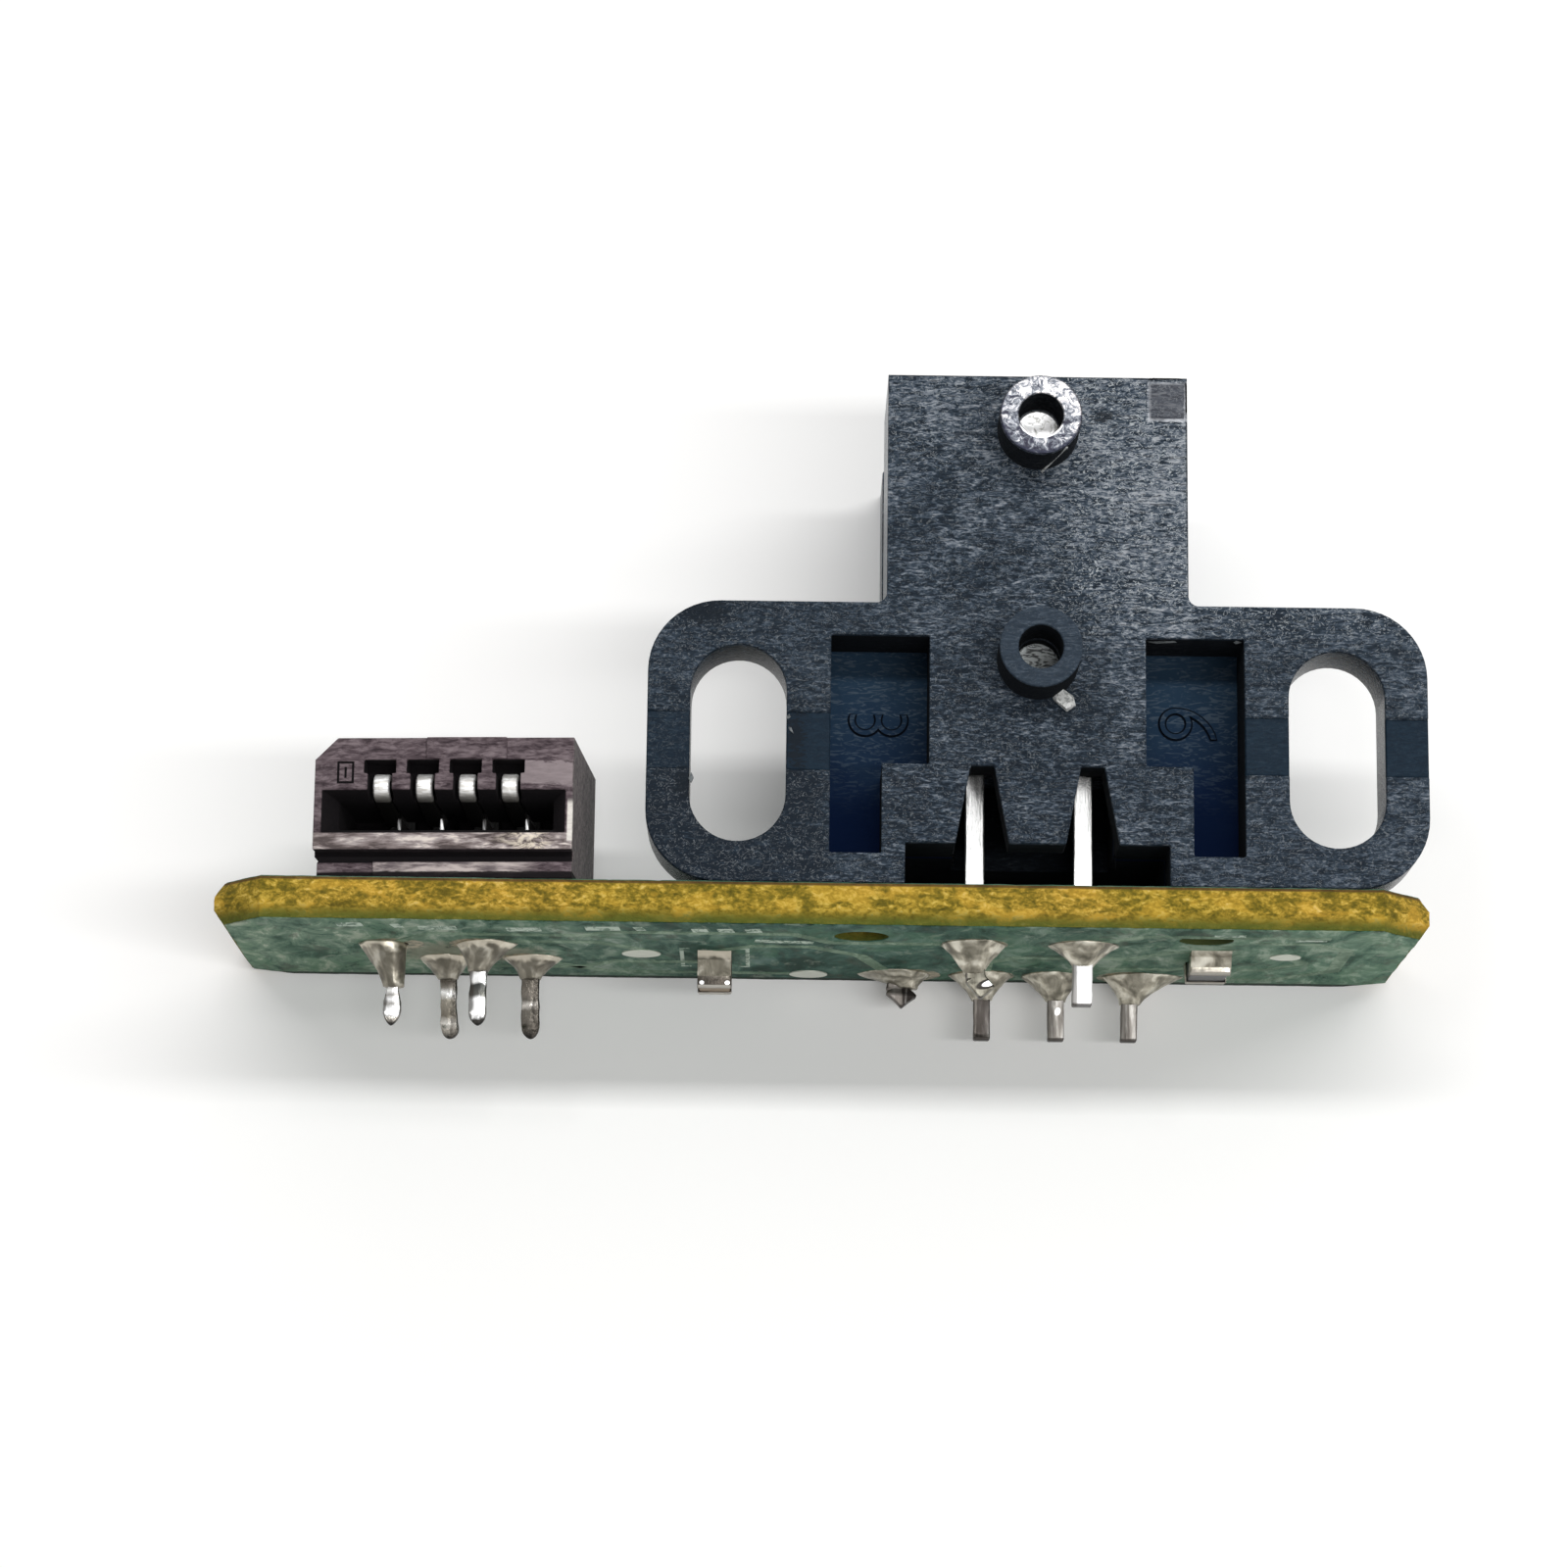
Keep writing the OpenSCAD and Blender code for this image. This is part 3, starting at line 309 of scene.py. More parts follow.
board_foot, board_top = (corner.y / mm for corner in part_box("circuit_board"))
hole_x, hole_z, hole_r = 5.03, -1.85, 0.95
laminate = Paint("laminate", IOR=1.5, Specular_IOR_Level=0.1)
x, y, z = laminate.place()
crumbs = laminate.speckle((2.8, 5.0, 2.8), detail=3, roughness=0.62, distortion=0.6)
grain = laminate.speckle((8.0, 11.0, 8.0), detail=3, roughness=0.68, shift=9.0)
clumps = laminate.speckle((0.8, 1.5, 0.8), detail=2, shift=4.0, distortion=0.5)
stain = laminate.speckle((0.17, 0.3, 0.17), detail=1, shift=13.0)
crumbled = crumbs * 0.6 + grain * 0.4
weave = laminate.node("ShaderNodeValToRGB", {"stops": [
    (0, (0.060, 0.045, 0.005)), (0.31, (0.150, 0.112, 0.014)), (0.42, (0.225, 0.158, 0.018)),
    (0.5, (0.315, 0.205, 0.026)), (0.58, (0.43, 0.280, 0.038)), (0.69, (0.62, 0.41, 0.075)),
    (1, (0.92, 0.72, 0.30))]},
    {0: crumbled * 1.9 - 0.45 + (clumps - 0.5) * 0.5})
golden = laminate.blend(laminate.step(clumps, 0.53, 0.62) * 0.35, weave, (0.70, 0.40, 0.050))
sallow = laminate.blend(laminate.step(stain, 0.46, 0.62) * 0.7, golden, (0.86, 0.93, 0.80), "MULTIPLY")
fibrous = (grain - 0.5) * 0.5 + (crumbs - 0.5) * 0.5
near_foot = laminate.step(board_foot + 0.42 - y + fibrous, 0.0, 0.38)
near_top = laminate.step(y - board_top + 0.10 + fibrous * 0.12, 0.0, 0.05)
olive = laminate.blend(near_foot * 0.85, sallow, (0.062, 0.092, 0.016))
edged = laminate.blend(near_top * 0.85, olive, (0.075, 0.040, 0.018))
# The wall of the board's right hole is painted dark green.
in_hole = laminate.step(hole_r - ((x - hole_x) ** 2 + (z - hole_z) ** 2) ** 0.5, 0.0, 0.05)
laminate.feed(Base_Color=laminate.blend(in_hole * 0.75, edged, (0.060, 0.085, 0.035)), Roughness=0.65 + grain * 0.3,
              Normal=laminate.relief(crumbled, 0.08))
piece("sheared_laminate", sheared_plate("circuit_board", 0.06 * mm, 9, reach=0.29 * mm), paint=laminate,
      replaces=["circuit_board"])

# Green lacquer over both faces of the board, thin enough to show the weave and the copper below it.
# It is streaked by flux and handling, and chipped back from the sheared edge.
foot_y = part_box("solder_mask_underside")[0].y
left_end, end_to_end = -23.6, 35.0
pool_x, pool_z, pool_wide, pool_deep = -16.9, -5.3, 2.5, 1.9
lacquer = Paint("green_lacquer", IOR=1.5, Specular_IOR_Level=0.07)
x, y, z = lacquer.place()
clouds = lacquer.speckle((0.45, 1.0, 0.35), detail=3, roughness=0.6, distortion=0.8)
streaks = lacquer.speckle((1.3, 1.0, 0.62), detail=5, roughness=0.68, shift=5.0, distortion=0.6)
flux = lacquer.speckle((1.1, 1.0, 0.7), detail=4, roughness=0.65, shift=11.0, distortion=0.8)
green = lacquer.node("ShaderNodeValToRGB", {"stops": [
    (0, (0.006, 0.024, 0.016)), (0.36, (0.030, 0.082, 0.055)), (0.45, (0.088, 0.172, 0.125)),
    (0.53, (0.165, 0.270, 0.200)), (0.61, (0.38, 0.47, 0.39)), (1, (0.80, 0.84, 0.74))]},
    {0: (clouds * 0.4 + streaks * 0.6) * 1.3 - 0.16})
# Lighter towards both ends, and darkest to the left of the sensor.
toned = lacquer.blend(1.0, green, lacquer.node("ShaderNodeValToRGB", {"stops": [
    (0, (1.28, 1.15, 1.08)), (0.28, (0.88, 0.86, 0.86)), (0.46, (0.30, 0.43, 0.45)), (0.60, (0.37, 0.49, 0.49)),
    (0.76, (0.80, 0.80, 0.78)), (1, (1.05, 1.10, 1.02))]}, {0: (x - left_end) / end_to_end}), "MULTIPLY")
milky = lacquer.blend(lacquer.step(flux, 0.55, 0.68) * 0.4, toned, (0.40, 0.47, 0.38))
browned = lacquer.blend(lacquer.step(flux, 0.45, 0.34) * 0.55, milky, (0.050, 0.062, 0.040))
# Flux has run out between the connector's joints and dried there.
from_pool = (((x - pool_x) / pool_wide) ** 2 + ((z - pool_z) / pool_deep) ** 2) ** 0.5
dried = lacquer.step(1.0 - from_pool + (streaks - 0.5) * 1.6, -0.05, 0.35)
mossy = lacquer.blend(lacquer.step(clouds, 0.50, 0.60) * 0.35, browned, (0.065, 0.175, 0.090))
stained = lacquer.blend(dried * 0.6, mossy, (0.27, 0.25, 0.185))
spotted = lacquer.blend(lacquer.step(streaks, 0.38, 0.33) * 0.5, stained, (0.012, 0.030, 0.020))
# Painted shade: a dark line follows the far edge of the underside, where the board stands on the paper. The top was
# never soldered and kept its plain green.
far_edge_shade = lacquer.step(-8.92 - z + (streaks - 0.5) * 0.5, 0.0, 0.08)
on_top = lacquer.step(y - foot_y / mm, 0.3, 0.6)
spotted = lacquer.blend(far_edge_shade * (1 - on_top) * 0.95, spotted, (0.012, 0.022, 0.016))
spotted = lacquer.blend(on_top * 0.72, spotted, (0.050, 0.125, 0.080))
lacquer.feed(Base_Color=spotted, Roughness=0.45 + flux * 0.35, Normal=lacquer.relief(streaks, 0.015))
for face in ("underside", "top"):
    piece("lacquer_" + face, sheared_plate("solder_mask_" + face, 0.13 * mm, 1), paint=lacquer,
          replaces=["solder_mask_" + face])


# Copper tracks below the lacquer stand up as low ridges. They join the connector's four tails to the leads
# of the sensor, and pass the two chips and the test pads.
def flat_line(made, points, width, level, rise):
    """A flat strip along points in X and Z, which rises by rise below a level."""
    corners = [Vector(p) * mm for p in points]
    sides = []
    for k, p in enumerate(corners):
        ways = [(b - a).normalized() for a, b in zip(corners, corners[1:])][max(0, k - 1):k + 1]
        across = sum((Vector((-w.y, w.x)) for w in ways), Vector((0, 0))).normalized()
        reach = width * mm / 2 / max(0.4, across.dot(Vector((-ways[0].y, ways[0].x))))
        sides.append((p + across * reach, p - across * reach))
    rings = [[made.verts.new((q.x, level - d * rise, q.y)) for q, d in
              ((a, 0), (a.lerp(b, 0.12), 1), (b.lerp(a, 0.12), 1), (b, 0))] for a, b in sides]
    for here, there in zip(rings, rings[1:]):
        for k in range(3):
            made.faces.new((here[k], here[k + 1], there[k + 1], there[k]))
        made.faces.new((here[3], here[0], there[0], there[3]))
    made.faces.new(rings[0])
    made.faces.new(rings[-1][::-1])


track_wide, track_rise = 0.42, 0.012 * mm
tracks = bmesh.new()
for run in (
    [(-19.0, -3.9), (-17.6, -2.2), (-13.2, -2.2), (-12.4, -1.6), (-7.0, -1.6), (-5.9, -2.9), (-2.6, -2.9)],
    [(-16.5, -4.0), (-15.2, -3.3), (-12.8, -3.3), (-11.5, -4.4), (-11.5, -5.0)],
    [(-17.9, -6.6), (-17.2, -7.5), (-13.5, -7.5), (-12.3, -6.4), (-9.6, -6.4), (-9.4, -6.8)],
    [(-15.4, -6.5), (-14.4, -6.7), (-12.6, -8.2), (-7.0, -8.2)],
    [(-9.3, -4.5), (-8.2, -3.6), (-6.5, -3.6), (-5.0, -5.0), (-4.2, -7.6), (-3.5, -7.9)],
    [(-1.2, -7.8), (-1.2, -5.9), (-0.3, -5.0), (3.0, -5.0), (4.2, -3.8), (5.3, -3.6)],
    [(1.1, -7.8), (1.6, -6.7), (4.4, -6.7), (5.2, -6.2)],
    [(3.4, -8.3), (7.6, -8.3), (9.3, -6.6), (9.3, -3.2), (8.2, -2.2), (6.6, -2.2)],
    [(1.5, -2.8), (3.2, -1.3), (8.6, -1.3)],
    [(7.6, -4.3), (8.3, -5.4), (7.2, -6.6), (6.4, -6.6)],
):
    flat_line(tracks, run, track_wide, foot_y, track_rise)
track_paint = Paint("lacquer_over_copper", IOR=1.5, Specular_IOR_Level=0.07)
wear = track_paint.speckle((1.3, 1.0, 0.62), detail=5, roughness=0.70, shift=5.0, distortion=1.1)
track_paint.feed(
    Base_Color=track_paint.node("ShaderNodeValToRGB", {"stops": [
        (0, (0.030, 0.066, 0.040)), (0.40, (0.085, 0.150, 0.095)), (0.50, (0.150, 0.235, 0.160)),
        (0.60, (0.26, 0.36, 0.26)), (1, (0.55, 0.62, 0.52))]}, {0: wear}),
    Roughness=0.42 + wear * 0.3, Normal=track_paint.relief(wear, 0.01))
piece("covered_tracks", tracks, paint=track_paint)


# White print, screened on the lacquer and half rubbed off again: a pair of brackets round the taller chip, and
# a row of dashes by the near edge.
def spot(node):
    """The middle of a CAD node, in millimetres."""
    low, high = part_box(node)
    return (low + high) / 2 / mm


print_rise, print_thin, print_wide, dash_wide, dash_slant = 0.010 * mm, 0.12, 0.42, 0.6, 0.06
bracket_out, bracket_in, bracket_half = 0.98, 0.73, 1.5
marks = bmesh.new()
at = spot("capacitor_body")
for side in (-1, 1):
    flat_line(marks, [(at.x + side * out, at.z + end * bracket_half) for out, end in
                      ((bracket_in, -1), (bracket_out, -1), (bracket_out, 1), (bracket_in, 1))],
              print_thin, foot_y, print_rise)
for start, end, at_z in ((-20.25, -19.5, -0.95), (-18.65, -18.37, -1.05), (-17.9, -16.8, -1.3), (-15.35, -14.35, -1.4),
                         (-13.05, -12.05, -1.1), (-11.61, -11.35, -1.05), (-9.95, -9.5, -1.25), (-9.2, -8.75, -1.2),
                         (-8.4, -7.95, -1.15), (5.2, 6.1, -1.2), (7.6, 8.5, -1.5)):
    flat_line(marks, [(start, at_z), (end, at_z + dash_slant)], dash_wide, foot_y, print_rise)
flat_line(marks, [(-8.15, -2.72), (-7.3, -2.85), (-6.42, -2.92)], print_wide, foot_y, print_rise)
ink = Paint("white_ink")
patchy = ink.speckle((3, 1, 2), detail=3, roughness=0.7, distortion=1.0)
ink.feed(Base_Color=ink.blend(ink.step(patchy, 0.44, 0.6), (0.50, 0.60, 0.50), (0.10, 0.18, 0.12)),
         Roughness=0.5 + patchy * 0.2)
piece("rubbed_print", marks, paint=ink)

# Copper rings and lands at the joints, etched with the tracks, and three round test pads that were tinned when
# the board was soldered. They are the CAD nodes themselves, in a finish of their own.
copper = Paint("tinned_copper", Metallic=1.0)
dull = copper.speckle((5, 5, 5), detail=4, roughness=0.65)
copper.feed(Base_Color=copper.blend(copper.step(dull, 0.4, 0.62), (0.36, 0.30, 0.20), (0.10, 0.12, 0.08)),
            Roughness=0.3 + dull * 0.3, Normal=copper.relief(dull, 0.01))
for node in ("lead_pads", "chip_pads"):
    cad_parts[node].data.materials[0] = copper.material
pad_tin = Paint("pad_tin", Metallic=0.55)
haze = pad_tin.speckle((3, 3, 3), detail=4, roughness=0.6)
pad_tin.feed(Base_Color=pad_tin.blend(haze, (0.52, 0.55, 0.47), (0.76, 0.77, 0.68)), Roughness=0.34 + haze * 0.2,
             Normal=pad_tin.relief(haze, 0.02))
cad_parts["test_pads"].data.materials[0] = pad_tin.material


# Sensor body: one moulding of glass-filled black resin, with its ears, tower, posts and recesses.
# The flow of the resin left fine pale streaks along X, and every edge is very slightly rounded.
def eased(node, width, ease=None):
    """The mesh of a CAD node with its edges rounded. ease gives a share of the width for the edge at a point."""
    sharp, segments = math.radians(25), 2
    made = solid_of(node, whole_faces=True)
    layer = made.edges.layers.float.new("bevel_weight_edge")
    for e in made.edges:
        if e.is_manifold and e.calc_face_angle(0) > sharp:
            e[layer] = ease((e.verts[0].co + e.verts[1].co) / 2 / mm) if ease else 1.0
            e.smooth = e[layer] > 0
    source = bpy.data.meshes.new(node + "_eased")
    for f in made.faces:
        f.smooth = True
    made.to_mesh(source)
    made.free()
    holder = bpy.data.objects.new("holder", source)
    bpy.context.scene.collection.objects.link(holder)
    bevel = holder.modifiers.new("bevel", "BEVEL")
    bevel.limit_method, bevel.width, bevel.segments = "WEIGHT", width, segments
    bevel.use_clamp_overlap = False
    normals = holder.modifiers.new("normals", "WEIGHTED_NORMAL")
    normals.keep_sharp = True
    shaped = bpy.data.meshes.new_from_object(holder.evaluated_get(bpy.context.evaluated_depsgraph_get()))
    bpy.data.objects.remove(holder)
    return shaped


recess_x, recess_z, relief_low, relief_high = 6.02, -2.2, -0.78, 0.92
upper_post, lower_post, post_end, bore_r, bore_z = 9.5, 2.55, 1.7, 0.65, -0.7
tower_x, tower_top, square_x, square_y, square_half = 4.36, 11.13, 3.83, 10.47, (0.56, 0.6)
resin = Paint("black_resin", IOR=1.5, Specular_IOR_Level=0.1)
x, y, z = resin.place()
threads = resin.speckle((2.2, 7.6, 7.6), detail=2, roughness=0.60, distortion=1.5)
flecks = resin.speckle((4.6, 12.5, 12.5), detail=2, roughness=0.6, shift=6.0, distortion=1.2)
drift = resin.speckle((0.5, 0.7, 0.5), detail=3, shift=2.0)
# Painted sheen: the tower is painted paler towards its top and most of all on its right, where the light falls, and
# the left ear darker. The ears have less contrast.
painted_sheen_bias = resin.step(y, 2.0, 10.0) * 0.06 + x * 0.002 - 0.032 \
    + resin.step(x, 0.0, 4.0) * resin.step(y, 0.0, 4.0) * resin.step(4.6 - x, 0.0, 0.2) * 0.075 \
    - resin.step(-5.8 - x, 0.0, 0.6) * resin.step(1.5 - y, 0.0, 3.0) * 0.075
calm = 1 - resin.step(abs(x), 3.6, 5.5) * 0.28
texture = threads * 0.67 + flecks * 0.40 - 0.045 + (drift - 0.5) * 0.28
texture = (texture - 0.5) * calm + painted_sheen_bias + 0.5
marked = resin.node("ShaderNodeValToRGB", {"stops": [
    (0, (0.003, 0.006, 0.011)), (0.38, (0.005, 0.010, 0.017)), (0.46, (0.017, 0.027, 0.040)),
    (0.53, (0.046, 0.064, 0.088)), (0.60, (0.125, 0.148, 0.180)), (0.70, (0.32, 0.34, 0.37)),
    (1, (0.42, 0.44, 0.46))]}, {0: texture})
on_front = resin.step(z, -0.1, -0.05)
# Dark dashes lie along the flow. Curled scratches are painted pale where they catch the light, as painted sheen,
# mostly on the right of the tower.
dashes = resin.speckle((1.5, 10, 10), detail=2, roughness=0.5, shift=31.0, distortion=0.9)
marked = resin.blend(resin.step(0.44 - dashes, 0.0, 0.05) * 0.7, marked, (0.005, 0.009, 0.015))
curls = resin.speckle((3.6, 4.6, 4.6), detail=1, roughness=0.5, shift=21.0, distortion=2.6)
scratch_sheen_weight = resin.step(x, -0.5, 1.8) * resin.step(y, 2.5, 5.0) * 0.8 + resin.step(y, 7.0, 9.0) * 0.25 + 0.25
scratch_sheen = resin.step(0.036 - abs(curls - 0.57), 0.0, 0.022) * resin.step(flecks, 0.36, 0.5) * scratch_sheen_weight * on_front
marked = resin.blend(scratch_sheen, marked, (0.40, 0.43, 0.45))
# Painted shade: behind the front face, in the recesses, the notches and the cut-out, and on the walls of the posts,
# the resin is painted near black, where shade falls.
in_block = resin.step(recess_x + 0.04 - abs(x), 0.0, 0.03) * resin.step(4.1 - y, 0.0, 0.05) \
    * resin.step(z, -3.15, -3.1)
in_pocket = resin.step(4.3 - abs(x), 0.0, 0.05) * resin.step(-0.3 - y, 0.0, 0.05) * resin.step(z, -9.25, -9.15)
painted_shade_inside = resin.step(-1 * z, 0.10, 0.22) * in_block.most(in_pocket)
post_wall_shade = resin.step(z, 0.04, 0.12) * resin.step(post_end - 0.07 - z, 0.0, 0.03)
body_colour = resin.blend(painted_shade_inside.most(post_wall_shade) * 0.93, marked, (0.0012, 0.0018, 0.0028))
# Smooth floors of the recesses, and the smooth relief across each ear.
on_band = resin.step(abs(x), recess_x - 0.02, recess_x + 0.02) * resin.step(y, relief_low - 0.03, relief_low) \
    * resin.step(relief_high - y, 0.0, 0.03) * resin.step(z, -0.2, -0.12)
on_floor = resin.step(-1 * z, -recess_z - 0.12, -recess_z - 0.07) * resin.step(z, recess_z - 0.2, recess_z - 0.15) \
    * resin.step(recess_x + 0.02 - abs(x), 0.0, 0.01)
floor_tone = resin.blend(resin.step(y + (drift - 0.5) * 3, -2.4, 3.2), (0.001, 0.007, 0.032), (0.018, 0.040, 0.070))
streaky = resin.step(threads, 0.50, 0.64) * resin.step(y, -2.0, 1.5)
floor_tone = resin.blend(streaky * 0.75, floor_tone, (0.06, 0.085, 0.115))
band_tone = resin.blend(threads, (0.001, 0.004, 0.010), (0.008, 0.024, 0.042))
body_colour = resin.blend(on_band * (0.93 - resin.step(-9.6 - x, 0.0, 0.4) * 0.35), body_colour, band_tone)
body_colour = resin.blend(on_floor * 0.95, body_colour, floor_tone)
# The corner of the tower has a square witness mark with a pale rim, painted brighter at its bottom and right as a
# painted highlight, and dark smudges lie on the face.
from_square = (abs(x - square_x) - square_half[0]).most(abs(y - square_y) - square_half[1])
pale_rim_and_highlight = resin.step(0.075 - abs(from_square + 0.02) + (flecks - 0.5) * 0.10, 0.0, 0.05) \
    * (resin.step(abs(x - 3.55) + (9.95 - y) * 0.6, 0.1, 0.4) * 0.65 + 0.35)
tower_edge = resin.step(abs(x) - tower_x, 0.0, 0.04) * resin.step(y, 4.5, 4.9) * resin.step(x, 0.0, 1.0)
tower_edge = tower_edge.most(resin.step(y, tower_top, tower_top + 0.05))
body_colour = resin.blend(tower_edge * on_front * 0.75, body_colour, (0.004, 0.006, 0.010))
inside = resin.step(-1 * from_square, 0.0, 0.04) * on_front
square_tone = resin.blend(drift * 0.6 + flecks * 0.4, (0.010, 0.013, 0.020), (0.125, 0.125, 0.142))
body_colour = resin.blend(inside * 0.8, body_colour, square_tone)
body_colour = resin.blend(pale_rim_and_highlight * on_front * (0.2 + threads), body_colour, (0.62, 0.64, 0.68))
for at_x, at_y, wide, high in ((1.90, 9.98, 0.36, 0.2), (-9.75, 3.92, 0.75, 0.34), (-7.0, 0.1, 0.26, 0.9),
                               (-10.2, -1.25, 0.3, 0.5)):
    apart = (((x - at_x) / wide) ** 2 + ((y - at_y) / high) ** 2) ** 0.5
    smudge = resin.step(1.0 - apart + (threads - 0.5) * 5.0, 0.0, 0.4)
    body_colour = resin.blend(smudge * on_front * 0.88, body_colour, (0.003, 0.006, 0.010))
# The upper post was burnished by the parts it locates, so that its end ring is bright. On it, painted light makes it
# lighter towards the top right, with painted shade round its outer edge and a painted highlight along the lower edge
# of its bore.
from_upper = (x ** 2 + (y - upper_post) ** 2) ** 0.5
from_lower = (x ** 2 + (y - lower_post) ** 2) ** 0.5
ring = resin.step(z, post_end - 0.06, post_end - 0.02) * resin.step(1.25 - from_upper, 0.0, 0.02)
worn_metal = resin.speckle((3.8, 3.8, 3.8), detail=5, roughness=0.72, shift=8.0, distortion=1.2)
sunny = (y - upper_post) * 0.05 + x * 0.025
silver = resin.node("ShaderNodeValToRGB", {"stops": [
    (0, (0.004, 0.004, 0.007)), (0.38, (0.03, 0.03, 0.042)), (0.45, (0.085, 0.092, 0.108)),
    (0.51, (0.19, 0.20, 0.22)), (0.57, (0.40, 0.39, 0.40)), (0.63, (0.84, 0.79, 0.77)),
    (0.70, (1.0, 0.98, 0.97)), (1, (1.0, 1.0, 1.0))]},
    {0: worn_metal + sunny - 0.02})
rim_shade = resin.step(from_upper - 1.10 - (y - upper_post) * 0.04, 0.0, 0.07)
silver = resin.blend(rim_shade * 0.85, silver, (0.02, 0.022, 0.035))
bore_edge_highlight = resin.step(0.73 - from_upper, 0.0, 0.03) * resin.step(upper_post - 0.25 - y, 0.0, 0.2)
silver = resin.blend(bore_edge_highlight * 0.8, silver, (0.9, 0.9, 0.9))
# The lower post's end was never rubbed.
lower_ring = resin.step(1.22 - from_lower, 0.0, 0.02) * resin.step(z, post_end - 0.08, post_end - 0.03)
unworn = resin.blend(threads, (0.010, 0.018, 0.030), (0.05, 0.07, 0.095))
body_colour = resin.blend(lower_ring * 0.75, body_colour, unworn)
# Painted light: the floor of the lower bore is painted nearly white.
painted_bore_light = resin.step(bore_r + 0.02 - from_lower, 0.0, 0.02) * resin.step(bore_z + 0.12 - z, 0.0, 0.05) \
    * (resin.step(threads, 0.38, 0.54) * 0.8 + 0.2)
body_colour = resin.blend(painted_bore_light, body_colour, (0.95, 1.0, 1.0))
# The outer walls and those of the ear slots are smooth, and catch the paper.
smooth_wall = resin.step(-1 * z, 0.10, 0.2) * (1 - in_block.most(in_pocket))
resin.feed(Base_Color=resin.blend(ring, body_colour, silver), Metallic=ring * 0.9,
           Roughness=0.52 + flecks * 0.2 - ring * 0.25 + (post_wall_shade + painted_shade_inside * (1 - smooth_wall)) * 0.3
           - smooth_wall * 0.38,
           Normal=resin.relief(texture * (1 - on_floor * 0.8 - on_band * 0.7), 0.035))
# The edges level with the recesses' floors, the digits' among them, are too fine to be rounded.
keen_low, keen_high = -2.5, -1.9
piece("moulded_body", eased("sensor_body", 0.05 * mm, ease=lambda at: 0.0 if keen_low < at.z < keen_high else 1.0),
      paint=resin, replaces=["sensor_body"])

# A thin dark ribbon lies along the foot of each raised digit's walls on the floors of the recesses, so that their
# outlines show dark.
def grained(name, stretch, detail, first, second, rough=None, **constants):
    """Paint in fine blotches of two colours. rough is the least roughness, and what the blotches add to it."""
    paint = Paint(name, **constants)
    blotches = paint.speckle(stretch, detail=detail)
    paint.feed(Base_Color=paint.blend(blotches, first, second))
    if rough:
        paint.feed(Roughness=blotches * rough[1] + rough[0])
    return paint


digit_raise, outline_wide, outline_thick = 0.08, 0.055, 0.004
shell = solid_of("sensor_body")
digit_z = recess_z + digit_raise
tops = {f for f in shell.faces if f.normal.z > 0.9 and abs(f.calc_center_median().z / mm - digit_z) < 0.01}
ways, rims = {}, []
for face in tops:
    for e in face.edges:
        if sum(f in tops for f in e.link_faces) == 1:
            a, b = e.verts
            along = (b.co - a.co).normalized()
            out = Vector((along.y, -along.x, 0))
            out *= -1 if out.dot(face.calc_center_median() - a.co) > 0 else 1
            rims.append((a, b))
            for v in (a, b):
                ways[v] = ways.get(v, Vector()) + out
digit_outline = bmesh.new()
drop = Vector((0, 0, (outline_thick - digit_raise) * mm))
inner = {v: digit_outline.verts.new(v.co + drop) for v in ways}
outer = {v: digit_outline.verts.new(v.co + drop + way.normalized() * outline_wide * mm) for v, way in ways.items()}
for a, b in rims:
    digit_outline.faces.new((inner[a], inner[b], outer[b], outer[a]))
bmesh.ops.recalc_face_normals(digit_outline, faces=digit_outline.faces)
bmesh.ops.solidify(digit_outline, geom=list(digit_outline.faces), thickness=outline_thick * mm)
shell.free()
outline_paint = grained("dark_outline", (9, 9, 9), 2, (0.0004, 0.0012, 0.004), (0.002, 0.005, 0.010),
               Roughness=0.8, Specular_IOR_Level=0.05)
piece("digit_outlines", digit_outline, paint=outline_paint)

# A dished bright plug closes the bore of the upper post, level with the face of the tower.
dish_r, dish_sag, dish_thick, dish_rings, dish_sides = 0.66, 0.11, 0.5, 8, 32
dish = bmesh.new()
rings = []
for k in range(dish_rings + 1):
    r, sag = dish_r * k / dish_rings, dish_sag * (1 - (k / dish_rings) ** 2)
    turns = [2 * math.pi * t / dish_sides for t in range(dish_sides if k else 1)]
    rings.append([dish.verts.new(Vector((r * math.cos(turn), upper_post + r * math.sin(turn), -sag)) * mm)
                  for turn in turns])
rings.append([dish.verts.new(v.co - Vector((0, 0, dish_thick * mm))) for v in rings[-1]])
for k in range(dish_sides):
    n = (k + 1) % dish_sides
    dish.faces.new((rings[0][0], rings[1][k], rings[1][n])).smooth = True
    for inner, outer in zip(rings[1:], rings[2:]):
        dish.faces.new((inner[k], outer[k], outer[n], inner[n])).smooth = outer is not rings[-1]
dish.faces.new(rings[-1][::-1])
plug_metal = Paint("plug_metal", Metallic=1.0)
patches = plug_metal.speckle((3.5, 3.5, 3.5), detail=4, roughness=0.65, distortion=1.0)
patchy_metal = plug_metal.blend(plug_metal.step(patches, 0.5, 0.66), (0.92, 0.92, 0.92), (0.42, 0.42, 0.40))
plug_metal.feed(Base_Color=patchy_metal, Roughness=0.3 + patches * 0.2, Normal=plug_metal.relief(patches, 0.012))
piece("bore_plug", dish, paint=plug_metal)


# Slivers of flash and torn burrs of the same resin cling to the moulding: below both posts, at the edge of the
# right recess, and at the left ear's slot and corners.
def sliver(made, points, thick):
    """A flat scrap with a torn outline, thick above each of its points in millimetres."""
    low = [made.verts.new(Vector(p) * mm) for p in points]
    middle = sum((v.co for v in low), Vector()) / len(low)
    high = [made.verts.new(v.co.lerp(middle, 0.12) + Vector((0, 0, thick * mm * (0.6 + 0.4 * (k % 2)))))
            for k, v in enumerate(low)]
    for k in range(len(low)):
        n = (k + 1) % len(low)
        made.faces.new((low[k], low[n], high[n], high[k]))
    made.faces.new(low[::-1])
    made.faces.new(high)


